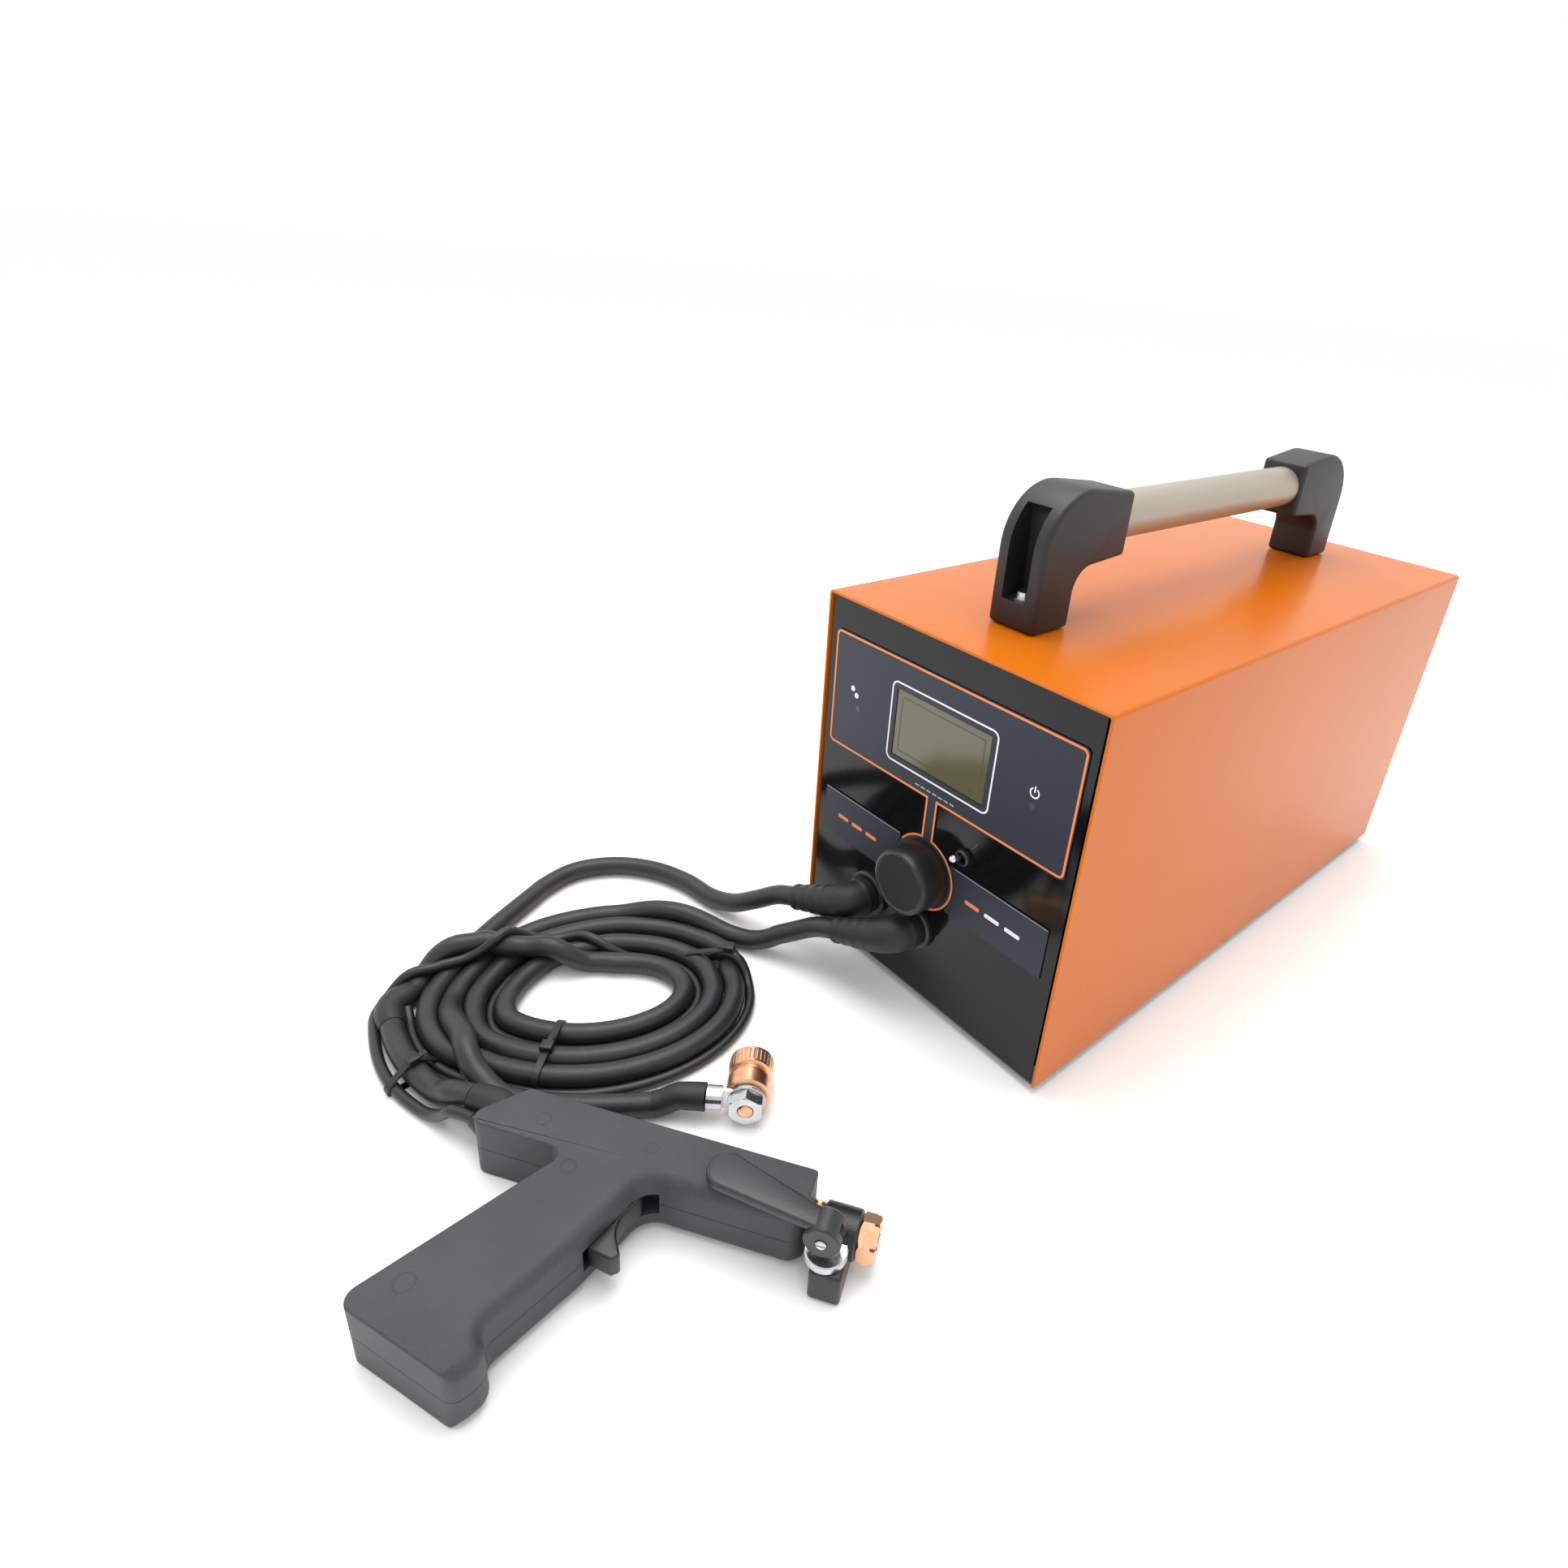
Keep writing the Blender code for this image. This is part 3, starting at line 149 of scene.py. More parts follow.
CORE_STEEL = make_material("laminated_core", (0.16, 0.16, 0.17), 0.5, metallic=0.8, mottle=0.15,
    grain=500, bump=0.4, stretch=(1, 12, 1))
WINDING = make_material("winding_tape", (0.66, 0.46, 0.12), 0.5, mottle=0.12, grain=400, bump=0.5,
    stretch=(1, 1, 4))
ALUMINIUM = make_material("extruded_aluminium", (0.55, 0.55, 0.56), 0.4, metallic=1.0, mottle=0.08,
    grain=700, bump=0.15, stretch=(1, 0.1, 1))
RED_PLASTIC = make_material("red_rocker", (0.42, 0.02, 0.015), 0.28, mottle=0.06, grain=1500, bump=0.06,
    coat=0.2)
STUDIO_FLOOR = make_material("studio_floor", (0.99, 0.99, 0.99), 0.9, mottle=0.004, grain=60, bump=0.0,
    specular=0.1)

CAD_FINISHES = {
    ORANGE: ["cover"],
    GLOSS_BLACK: ["front_panel"],
    NAVY: ["membrane_overlay", "label_strip_left", "label_strip_right"],
    LCD: ["display_window"],
    BLACK_PLASTIC: ["thyristor_module", "mains_switch_body", "fan_frame", "fan_rotor", "mains_gland",
                    "trigger_switch", "toggle_bush"],
    PANEL_STEEL: ["rear_panel", "base_pan"],
    DARK_STEEL: ["lcd_module", "encoder_body"],
    FOOT_RUBBER: ["foot_front_left", "foot_front_right", "foot_rear_left", "foot_rear_right"],
    TUBE_METAL: ["handle_tube"],
    STEEL: ["handle_screw_front", "handle_screw_rear", "trigger_pin", "fan_guard"],
    BOARD_GREEN: ["control_board"],
    CORE_STEEL: ["transformer_core"],
    WINDING: ["primary_winding"],
    COPPER: ["secondary_winding"],
    ALUMINIUM: ["heat_sink"],
    RED_PLASTIC: ["mains_rocker"],
}

# ---------------------------------------------------------------- building helpers


def node_object(name):
    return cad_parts[name]


def set_material(item, material):
    item.data.materials.clear()
    item.data.materials.append(material)


def add_piece(name, data, material, body=MACHINE, replaces=(), matrix=None):
    """Put a new visible piece in the scene, on its body, with its finish."""
    item = bpy.data.objects.new(name, data)
    bpy.context.scene.collection.objects.link(item)
    if matrix is not None:
        data.transform(matrix)
    set_material(item, material)
    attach(item, body)
    if replaces:
        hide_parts(*replaces)
    return item


def finish_mesh(shape, smooth_angle=35):
    mesh = bpy.data.meshes.new("shape")
    bmesh.ops.recalc_face_normals(shape, faces=shape.faces)
    shape.to_mesh(mesh)
    shape.free()
    mesh.shade_smooth()
    mesh.set_sharp_from_angle(angle=math.radians(smooth_angle))
    return mesh


def skin(shape, rings, ends=True):
    """Quads between neighbouring rings of vertices, and a face over each end."""
    count = len(rings[0])
    for first, second in zip(rings, rings[1:]):
        for step in range(count):
            after = (step + 1) % count
            shape.faces.new((first[step], first[after], second[after], second[step]))
    if ends:
        shape.faces.new(rings[0])
        shape.faces.new(rings[-1])


def place_mesh(mesh, matrix):
    mesh.transform(matrix)
    return mesh


def box_mesh(low, high, bevel=0.0, segments=3):
    shape = bmesh.new()
    middle = [(a + b) / 2 for a, b in zip(low, high)]
    size = [b - a for a, b in zip(low, high)]
    bmesh.ops.create_cube(shape, size=1.0, matrix=Matrix.Translation(middle) @ Matrix.Diagonal((*size, 1)))
    if bevel:
        bmesh.ops.bevel(shape, geom=shape.edges[:], offset=bevel, segments=segments, profile=0.5, affect="EDGES")
    return finish_mesh(shape)


def turned_mesh(profile, steps=64, smooth_angle=35):
    """A solid of revolution about Z from (radius, height) points, closed on the axis at both ends."""
    shape = bmesh.new()
    rings = []
    for radius, height in profile:
        if radius < 1e-6:
            rings.append([shape.verts.new((0, 0, height))])
            continue
        rings.append([shape.verts.new((radius * math.cos(2 * math.pi * step / steps),
                                       radius * math.sin(2 * math.pi * step / steps), height))
                      for step in range(steps)])
    for first, second in zip(rings, rings[1:]):
        for step in range(steps):
            after = (step + 1) % steps
            corners = [first[step % len(first)], first[after % len(first)],
                       second[after % len(second)], second[step % len(second)]]
            unique = list(dict.fromkeys(corners))
            if len(unique) > 2:
                shape.faces.new(unique)
    return finish_mesh(shape, smooth_angle)


def rounded(corners, steps=6):
    """Outline points with an arc of the given radius at each (x, y, radius) corner."""
    points = []
    for index, corner in enumerate(corners):
        here = Vector(corner[:2])
        radius = corner[2]
        if radius <= 0:
            points.append((here.x, here.y))
            continue
        before = (Vector(corners[index - 1][:2]) - here).normalized()
        after = (Vector(corners[(index + 1) % len(corners)][:2]) - here).normalized()
        half = before.angle(after) / 2
        reach = radius / math.tan(half)
        centre = here + (before + after).normalized() * (radius / math.sin(half))
        start = here + before * reach - centre
        end = here + after * reach - centre
        turn = math.atan2(start.x * end.y - start.y * end.x, start.dot(end))
        for step in range(steps + 1):
            angle = turn * step / steps
            spoke = Matrix.Rotation(angle, 2) @ start
            points.append((centre.x + spoke.x, centre.y + spoke.y))
    return points


def flat_curve(name, outlines, thickness, bevel=0.0, bevel_steps=3):
    """A flat plate in XY, with holes, centred on z = 0, as a mesh made from a filled 2D curve."""
    curve = bpy.data.curves.new(name, "CURVE")
    curve.dimensions = "2D"
    curve.fill_mode = "BOTH"
    curve.extrude = max(thickness / 2 - bevel, 0.0)
    curve.bevel_depth = bevel
    curve.bevel_resolution = bevel_steps
    curve.offset = -bevel
    for outline in outlines:
        spline = curve.splines.new("POLY")
        spline.points.add(len(outline) - 1)
        for point, (x, y) in zip(spline.points, outline):
            point.co = (x, y, 0, 1)
        spline.use_cyclic_u = True
    item = bpy.data.objects.new(name, curve)
    bpy.context.scene.collection.objects.link(item)
    graph = bpy.context.evaluated_depsgraph_get()
    mesh = bpy.data.meshes.new_from_object(item.evaluated_get(graph))
    bpy.data.objects.remove(item)
    shape = bmesh.new()
    shape.from_mesh(mesh)
    bmesh.ops.remove_doubles(shape, verts=shape.verts, dist=0.00001)
    bmesh.ops.dissolve_limit(shape, angle_limit=0.001, verts=shape.verts, edges=shape.edges)
    return finish_mesh(shape)


def circle(x, y, radius, count=48):
    return [(x + radius * math.cos(2 * math.pi * step / count), y + radius * math.sin(2 * math.pi * step / count))
            for step in range(count)]


def cut(item, cutter_mesh, matrix=None, operation="DIFFERENCE"):
    """Apply an exact Boolean with a temporary cutter."""
    cutter = bpy.data.objects.new("cutter", cutter_mesh)
    bpy.context.scene.collection.objects.link(cutter)
    if matrix is not None:
        cutter.matrix_world = matrix
    apply_modifier(item, "BOOLEAN", object=cutter, operation=operation, solver="EXACT")
    bpy.data.objects.remove(cutter)


def apply_modifier(item, kind, **settings):
    modifier = item.modifiers.new(kind.lower(), kind)
    for name, value in settings.items():
        setattr(modifier, name, value)
    bpy.context.view_layer.update()
    graph = bpy.context.evaluated_depsgraph_get()
    mesh = bpy.data.meshes.new_from_object(item.evaluated_get(graph))
    item.modifiers.remove(modifier)
    old = item.data
    item.data = mesh
    if not mesh.materials and old.materials:
        mesh.materials.append(old.materials[0])
    mesh.shade_smooth()
    mesh.set_sharp_from_angle(angle=math.radians(35))


def smooth_line(points, spacing):
    """Points at even spacing along a Catmull-Rom curve through the given points."""
    route = [Vector(point) for point in points]
    fine = []
    for index in range(len(route) - 1):
        before = route[max(index - 1, 0)]
        start, end = route[index], route[index + 1]
        after = route[min(index + 2, len(route) - 1)]
        for step in range(20):
            t = step / 20
            fine.append(0.5 * (2 * start + (end - before) * t
                               + (2 * before - 5 * start + 4 * end - after) * t * t
                               + (3 * start - before - 3 * end + after) * t ** 3))
    fine.append(route[-1])
    total = [0.0]
    for first, second in zip(fine, fine[1:]):
        total.append(total[-1] + (second - first).length)
    count = max(3, round(total[-1] / spacing))
    even = []
    cursor = 0
    for step in range(count + 1):
        reach = total[-1] * step / count
        while cursor < len(total) - 2 and total[cursor + 1] < reach:
            cursor += 1
        span = max(total[cursor + 1] - total[cursor], 1e-9)
        even.append(fine[cursor].lerp(fine[cursor + 1], min(1.0, (reach - total[cursor]) / span)))
    return even


def swept_mesh(points, radii, sides=24):
    """A tube along the points, with a radius at each, closed at both ends."""
    shape = bmesh.new()
    points = [Vector(point) for point in points]
    rings = []
    previous = None
    for index, point in enumerate(points):
        ahead = points[min(index + 1, len(points) - 1)] - points[max(index - 1, 0)]
        ahead.normalize()
        if previous is None:
            side = ahead.orthogonal().normalized()
        else:
            side = (previous - ahead * previous.dot(ahead)).normalized()
        previous = side
        other = ahead.cross(side)
        rings.append([shape.verts.new(point + radii[index] * (math.cos(a) * side + math.sin(a) * other))
                      for a in (2 * math.pi * step / sides for step in range(sides))])
    skin(shape, rings)
    return finish_mesh(shape, 40)


# ---------------------------------------------------------------- camera

def add_camera():
    """The view from the front left, slightly above the case, with a small roll."""
    azimuth, elevation, roll = math.radians(46.15), math.radians(25.22), math.radians(5.25)
    back = Vector((math.sin(azimuth) * math.cos(elevation), -math.cos(azimuth) * math.cos(elevation),
                   math.sin(elevation)))
    right = Vector((math.cos(azimuth), math.sin(azimuth), 0))
    up = back.cross(right)
    rolled_right = math.cos(roll) * right + math.sin(roll) * up
    rolled_up = math.cos(roll) * up - math.sin(roll) * right
    camera = bpy.data.cameras.new("camera")
    camera.sensor_width = 36
    camera.lens = 21.43
    camera.shift_x = -0.05
    camera.shift_y = -0.05
    item = bpy.data.objects.new("camera", camera)
    bpy.context.scene.collection.objects.link(item)
    turn = Matrix((rolled_right, rolled_up, back)).transposed().to_4x4()
    item.matrix_world = Matrix.Translation((0.29625, -0.57073, 0.40352)) @ turn
    bpy.context.scene.camera = item


add_camera()

# ---------------------------------------------------------------- cables

CABLE_RADIUS = 0.0063
THIN_RADIUS = 0.003
REST = FLOOR + CABLE_RADIUS + CLEARANCE
THIN_REST = FLOOR + THIN_RADIUS + CLEARANCE
COIL_CENTRE = Vector((-0.1063, -0.3813, 0))
COIL_TURN = math.radians(61)
COIL_LENGTH = 0.082
COIL_WIDTH = 0.054
UPPER = REST + 0.0115

GUN_LEAD = [
    (-0.0795, -0.2545, 0.0330), (-0.092, -0.2585, 0.0285), (-0.107, -0.2645, 0.0180), (-0.125, -0.2700, 0.0065),
    (-0.146, -0.2745, REST), (-0.170, -0.279, REST), (-0.195, -0.290, REST), (-0.215, -0.309, REST),
    (-0.225, -0.334, REST), (-0.221, -0.358, REST), (-0.210, -0.379, REST)]
GUN_TAIL = [(-0.108, -0.4925, REST), (-0.094, -0.4835, 0.0025), (-0.080, -0.4745, 0.0070),
            (-0.0665, -0.4670, 0.0100)]
THIN_TAIL = [(-0.112, -0.504, THIN_REST), (-0.096, -0.499, 0.0), (-0.077, -0.488, 0.006), (-0.064, -0.478, 0.010),
             (-0.0525, -0.4725, 0.0115)]
GROUND_LEAD = [(-0.0395, -0.2545, 0.0330), (-0.052, -0.2585, 0.0285), (-0.065, -0.2640, 0.0195),
               (-0.077, -0.2705, 0.0110), (-0.087, -0.2765, 0.0050)]
GROUND_TAIL = [(-0.0265, -0.4185, REST), (-0.0240, -0.4080, 0.0008), (-0.0175, -0.3945, 0.0035),
               (-0.0088, -0.3835, 0.0056), (0.0004, -0.3733, 0.0062)]


def coil_point(degrees, offset, z):
    """A point of the coil: an angle along its turns, a distance out from their middle, and a height."""
    angle = math.radians(degrees)
    local = Vector(((COIL_LENGTH + offset) * math.cos(angle), (COIL_WIDTH + offset) * math.sin(angle), z))
    return COIL_CENTRE + Matrix.Rotation(COIL_TURN, 3, "Z") @ local


def turns(stations, step=20):
    """Points of a coiled stretch, easing between (degrees, offset, z) stations."""
    points = []
    for (start, offset, z), (end, next_offset, next_z) in zip(stations, stations[1:]):
        count = max(1, round((end - start) / step))
        for index in range(count):
            t = index / count
            ease = t * t * (3 - 2 * t)
            points.append(coil_point(start + (end - start) * t, offset + (next_offset - offset) * ease,
                                     z + (next_z - z) * ease))
    points.append(coil_point(*stations[-1]))
    return points


GUN_TURNS = turns([(172, 0.0145, REST), (440, 0.0145, REST), (520, 0.0005, REST), (790, 0.0005, REST),
                   (880, -0.0135, REST), (1140, -0.0135, REST), (1180, -0.0080, UPPER),
                   (1210, 0.0060, UPPER + 0.001), (1235, 0.0230, UPPER), (1256, 0.0330, REST + 0.003)])
GROUND_TURNS = turns([(75, 0.0145, REST), (140, 0.0150, REST), (175, 0.0130, UPPER + 0.001),
                      (225, 0.0120, UPPER + 0.001), (250, 0.0210, UPPER), (268, 0.0310, REST + 0.003)])
THIN_TURNS = turns([(190, 0.0225, THIN_REST), (330, 0.0225, THIN_REST), (400, 0.0075, REST + 0.008),
                    (440, 0.0060, REST + 0.008), (520, -0.0065, REST + 0.008), (800, -0.0065, REST + 0.008),
                    (850, 0.0040, UPPER + 0.009), (880, 0.0240, UPPER + 0.007), (900, 0.0400, THIN_REST + 0.004)])


def relax(cords, rounds=260):
    """Let the cords settle: they keep their length, push each other apart and rest on the floor."""
    points = np.array([tuple(point) for cord in cords for point in cord["points"]])
    radius = np.concatenate([np.full(len(cord["points"]), cord["radius"]) for cord in cords])
    owner = np.concatenate([np.full(len(cord["points"]), index) for index, cord in enumerate(cords)])
    place = np.concatenate([np.arange(len(cord["points"])) for cord in cords])
    free = np.ones(len(points), bool)
    start = 0
    rest_lengths = []
    for cord in cords:
        count = len(cord["points"])
        free[start:start + cord["fixed_start"]] = False
        free[start + count - cord["fixed_end"]:start + count] = False
        piece = points[start:start + count]
        rest_lengths.append(np.linalg.norm(np.diff(piece, axis=0), axis=1))
        start += count
    reach = radius[:, None] + radius[None, :] + 0.0002
    step = rest_lengths[0].mean()
    apart = np.abs(place[:, None] - place[None, :]) * step
    other = (owner[:, None] != owner[None, :]) | (apart > 3.5 * reach)
    np.fill_diagonal(other, False)
    for turn in range(rounds):
        points[free, 2] -= 0.00012
        start = 0
        for cord, lengths in zip(cords, rest_lengths):
            count = len(cord["points"])
            piece = points[start:start + count]
            span = np.diff(piece, axis=0)
            length = np.linalg.norm(span, axis=1)
            pull = span * ((length - lengths) / length / 2 * 0.5)[:, None]
            move = np.zeros_like(piece)
            move[:-1] += pull
            move[1:] -= pull
            bend = (piece[:-2] + piece[2:]) / 2 - piece[1:-1]
            move[1:-1] += 0.26 * bend
            move[~free[start:start + count]] = 0
            points[start:start + count] += move
            start += count
        delta = points[:, None, :] - points[None, :, :]
        distance = np.sqrt((delta ** 2).sum(-1)) + 1e-9
        overlap = np.where(other, np.maximum(reach - distance, 0), 0)
        share = np.where(free[None, :], 0.5, 1.0)
        push = (delta / distance[..., None] * (overlap * share)[..., None]).sum(1) * 0.45
        points[free] += push[free]
        low = FLOOR + radius + CLEARANCE
        points[free, 2] = np.maximum(points[free, 2], low[free])
    start = 0
    for cord in cords:
        count = len(cord["points"])
        cord["points"] = [Vector(point) for point in points[start:start + count]]
        start += count


SPACING = 0.0050


def whole_cord(lead, coiled, tail, radius):
    """The cord's points at even spacing, with its two declared ends held."""
    points = smooth_line([*lead, *coiled, *tail], SPACING)
    held_start = round(route_length(smooth_line(lead, SPACING)) / SPACING) - 2 if len(lead) > 1 else 1
    return {"points": points, "radius": radius, "fixed_start": max(1, held_start), "fixed_end": 4}


def route_length(points):
    return sum((second - first).length for first, second in zip(points, points[1:]))


BREAKOUT = coil_point(178, 0.0210, REST)
GUN_CORD = whole_cord(GUN_LEAD, GUN_TURNS, GUN_TAIL, CABLE_RADIUS)
GROUND_CORD = whole_cord(GROUND_LEAD, GROUND_TURNS, GROUND_TAIL, CABLE_RADIUS)
THIN_CORD = whole_cord([BREAKOUT], THIN_TURNS, THIN_TAIL, THIN_RADIUS)
relax([GUN_CORD, GROUND_CORD, THIN_CORD])


def cord_curve(name, points, radius, material, replaces):
    points = smooth_line(points, 0.0035)
    curve = bpy.data.curves.new(name, "CURVE")
    curve.dimensions = "3D"
    curve.bevel_depth = radius
    curve.bevel_resolution = 7
    curve.use_fill_caps = True
    spline = curve.splines.new("POLY")
    spline.points.add(len(points) - 1)
    for target, point in zip(spline.points, points):
        target.co = (*point, 1)
    spline.use_smooth = True
    return add_piece(name, curve, material, replaces=replaces), points


gun_cable, gun_line = cord_curve("gun_cable", GUN_CORD["points"], CABLE_RADIUS, CABLE,
                                 ("gun_cable_lead", "gun_cable_tail", "cable_coil"))
ground_cable, ground_line = cord_curve("ground_cable", GROUND_CORD["points"], CABLE_RADIUS, CABLE,
                                       ("ground_cable_lead", "ground_cable_tail"))
thin_cable, thin_line = cord_curve("control_cable", THIN_CORD["points"], THIN_RADIUS, THIN_CABLE,
                                   ("control_cable_tail",))


def hull(points):
    """The convex outline round flat points, in order."""
    ordered = sorted(set(points))

    def half(sequence):
        chain = []
        for point in sequence:
            while len(chain) > 1 and ((chain[-1][0] - chain[-2][0]) * (point[1] - chain[-2][1])
                                      - (chain[-1][1] - chain[-2][1]) * (point[0] - chain[-2][0])) <= 0:
                chain.pop()
            chain.append(point)
        return chain[:-1]

    return half(ordered) + half(reversed(ordered))


def cable_tie(name, centre, lines, reach, width=0.0045, thickness=0.0011):
    """A strap drawn round every cable that passes close to a point, with its locking head."""
    centre = Vector(centre)
    main, _ = lines[0]
    nearest = min(range(1, len(main) - 1), key=lambda index: (main[index] - centre).length)
    along = (main[nearest + 1] - main[nearest - 1]).normalized()
    along.z = 0
    along.normalize()
    side = Vector((0, 0, 1)).cross(along)
    middle = main[nearest]
    section = []
    for line, radius in lines:
        for first, second in zip(line, line[1:]):
            before, after = (first - middle).dot(along), (second - middle).dot(along)
            if before * after > 0 or (first - middle).length > reach:
                continue
            crossing = first.lerp(second, abs(before) / max(abs(before) + abs(after), 1e-9))
            across, height = (crossing - middle).dot(side), crossing.z
            for step in range(24):
                angle = 2 * math.pi * step / 24
                section.append((across + (radius + 0.00025) * math.cos(angle),
                                height + (radius + 0.00025) * math.sin(angle)))
    outline = hull(section)
    shape = bmesh.new()
    rings = []
    hub = Vector((sum(p[0] for p in outline) / len(outline), sum(p[1] for p in outline) / len(outline)))
    for grow, offset in ((0.0, -0.5), (thickness, -0.42), (thickness, 0.42), (0.0, 0.5)):
        ring = []
        for across, height in outline:
            out = (Vector((across, height)) - hub).normalized() * grow
            level = max(height + out.y, FLOOR + CLEARANCE)
            ring.append(shape.verts.new(middle + along * (offset * width) + side * (across + out.x)
                                        + Vector((0, 0, level - middle.z))))
        rings.append(ring)
    skin(shape, rings + rings[:1], ends=False)
    add_piece(name, finish_mesh(shape, 50), NYLON)
    top = max(outline, key=lambda point: point[1])
    spot = middle + side * top[0] + Vector((0, 0, top[1] + thickness - middle.z))
    frame_turn = Matrix((side, along, Vector((0, 0, 1)))).transposed().to_4x4()
    block = box_mesh((-0.0032, -0.0034, -0.0012), (0.0032, 0.0034, 0.0026), 0.0007)
    stub = box_mesh((0.0030, -0.0016, 0.0003), (0.0075, 0.0016, 0.0013), 0.0003)
    place = Matrix.Translation(spot) @ frame_turn
    add_piece(f"{name}_head", place_mesh(block, place), NYLON)
    add_piece(f"{name}_end", place_mesh(stub, place), NYLON)


ALL_LINES = [(gun_line, CABLE_RADIUS), (ground_line, CABLE_RADIUS), (thin_line, THIN_RADIUS)]
cable_tie("tie_middle", (-0.074, -0.425, 0.012), ALL_LINES, reach=0.020)
cable_tie("tie_gun_end", (-0.111, -0.488, 0.004), ALL_LINES, reach=0.016)
cable_tie("tie_far_side", coil_point(20, 0.0, 0.010), ALL_LINES, reach=0.028)


def breakout_sleeve():
    """Heat-shrink sleeve where the thin cable leaves the heavy one."""
    start = Vector(thin_line[0])
    nearest = min(range(len(gun_line)), key=lambda index: (gun_line[index] - start).length)
    low, high = max(nearest - 4, 0), min(nearest + 5, len(gun_line) - 1)
    points = gun_line[low:high + 1]
    count = len(points) - 1
    radii = [CABLE_RADIUS + 0.0003 + 0.0017 * math.sin(math.pi * index / count) ** 0.7 for index in range(count + 1)]
    mesh = swept_mesh(points, radii)
    for vertex in mesh.vertices:
        vertex.co.z = max(vertex.co.z, FLOOR + CLEARANCE)
    return add_piece("cable_breakout", mesh, RUBBER)


sleeve = breakout_sleeve()


# ---------------------------------------------------------------- ground terminal

UPRIGHT = Matrix.Rotation(math.pi / 2, 4, "X")
ALONG_X = Matrix.Rotation(math.pi / 2, 4, "Y")
SIDEWAYS = Matrix(((0, 0, 1, 0), (1, 0, 0, 0), (0, 1, 0, 0), (0, 0, 0, 1)))


def knurled(radius, low, high, teeth=36, depth=0.0004):
    """A short drum whose outside is cut into fine ridges along its axis."""
    shape = bmesh.new()
    rings = []
    for height, shrink in ((low, 1.0), (low + 0.0004, 0.0), (high - 0.0004, 0.0), (high, 1.0)):
        ring = []
        for step in range(teeth * 4):
            ridge = depth * (0.5 + 0.5 * math.cos(2 * math.pi * step / 4))
            size = radius - shrink * 0.0007 - (ridge if not shrink else 0)
            angle = 2 * math.pi * step / (teeth * 4)
            ring.append(shape.verts.new((size * math.cos(angle), size * math.sin(angle), height)))
        rings.append(ring)
    skin(shape, rings)
    return finish_mesh(shape)


def hexagon_mesh(radius, low, high, hole, chamfer=0.0009):
    """A hex nut with turned chamfers and, where stated, a countersunk hole."""
    outline = [(radius * math.cos(math.pi / 3 * step), radius * math.sin(math.pi / 3 * step)) for step in range(6)]
    nut = bpy.data.objects.new("nut", flat_curve("nut", [outline], high - low))
    bpy.context.scene.collection.objects.link(nut)
    nut.data.transform(Matrix.Translation((0, 0, (low + high) / 2)))
    dome = turned_mesh([(0, low), (radius - chamfer, low), (radius, low + chamfer * 0.7),
                        (radius, high - chamfer * 0.7), (radius - chamfer, high), (0, high)], 72)
    cut(nut, dome, operation="INTERSECT")
    if hole:
        bore = turned_mesh([(0, low - 0.001), (hole + 0.0012, low - 0.001), (hole, low + 0.0005),
                            (hole, high - 0.0005), (hole + 0.0012, high + 0.001), (0, high + 0.001)], 40)
        cut(nut, bore)
    mesh = nut.data
    bpy.data.objects.remove(nut)
    return mesh


def add_terminal():
    radius = 0.0120
    place = (Matrix.Translation((0.0210, -0.3630, FLOOR + radius + 0.0002))
             @ Matrix.Rotation(math.radians(-42), 4, "Z") @ ALONG_X)
    back = -0.0345
    contact = add_piece("ground_contact_body", turned_mesh([
        (0, back), (0.0108, back), (0.0119, back + 0.0010), (0.0119, back + 0.0105), (0.0112, back + 0.0113),
        (0.0099, back + 0.0118), (0.0099, back + 0.0146), (0.0112, back + 0.0152), (0.0119, back + 0.0158),
        (0.0119, back + 0.0238), (0.0110, back + 0.0247), (0, back + 0.0247)], 72), COPPER,
        replaces=("ground_contact",), matrix=place)
    grip = add_piece("ground_contact_ring", knurled(0.01205, back + 0.0020, back + 0.0096), COPPER,
                     matrix=place)
    stud = add_piece("ground_stud", turned_mesh([
        (0, -0.0100), (0.0039, -0.0100), (0.0039, -0.0004), (0.0033, 0.0002), (0, 0.0002)], 32), COPPER,
        matrix=place)
    nut = add_piece("ground_hex_nut", hexagon_mesh(0.0097, -0.0068, -0.0004, 0.0041), STEEL,
                    replaces=("ground_nut",), matrix=place)
    washer = add_piece("ground_washer", turned_mesh([
        (0.0041, -0.0074), (0.0098, -0.0074), (0.0100, -0.0072), (0.0098, -0.0069), (0.0041, -0.0069),
        (0.0041, -0.0074)], 40), STEEL, matrix=place)
    lug = node_object("ground_lug")
    set_material(lug, STEEL)
    sleeve_line = ground_line[-9:]
    boot = add_piece("ground_lug_sleeve", swept_mesh(sleeve_line, [0.0066 + 0.0006 * index / 8 for index in range(9)]),
                     RUBBER)
    return [lug, contact, grip, stud, nut, washer, boot]


add_terminal()

# ---------------------------------------------------------------- case and front panel

WIDTH, LENGTH, HEIGHT, SHEET = 0.200, 0.450, 0.230, 0.0015
PANEL_FACE = -LENGTH / 2 + 0.0015
REAR_FACE = LENGTH / 2 - 0.0015
PRINT_Y = PANEL_FACE - GAP - 0.0005


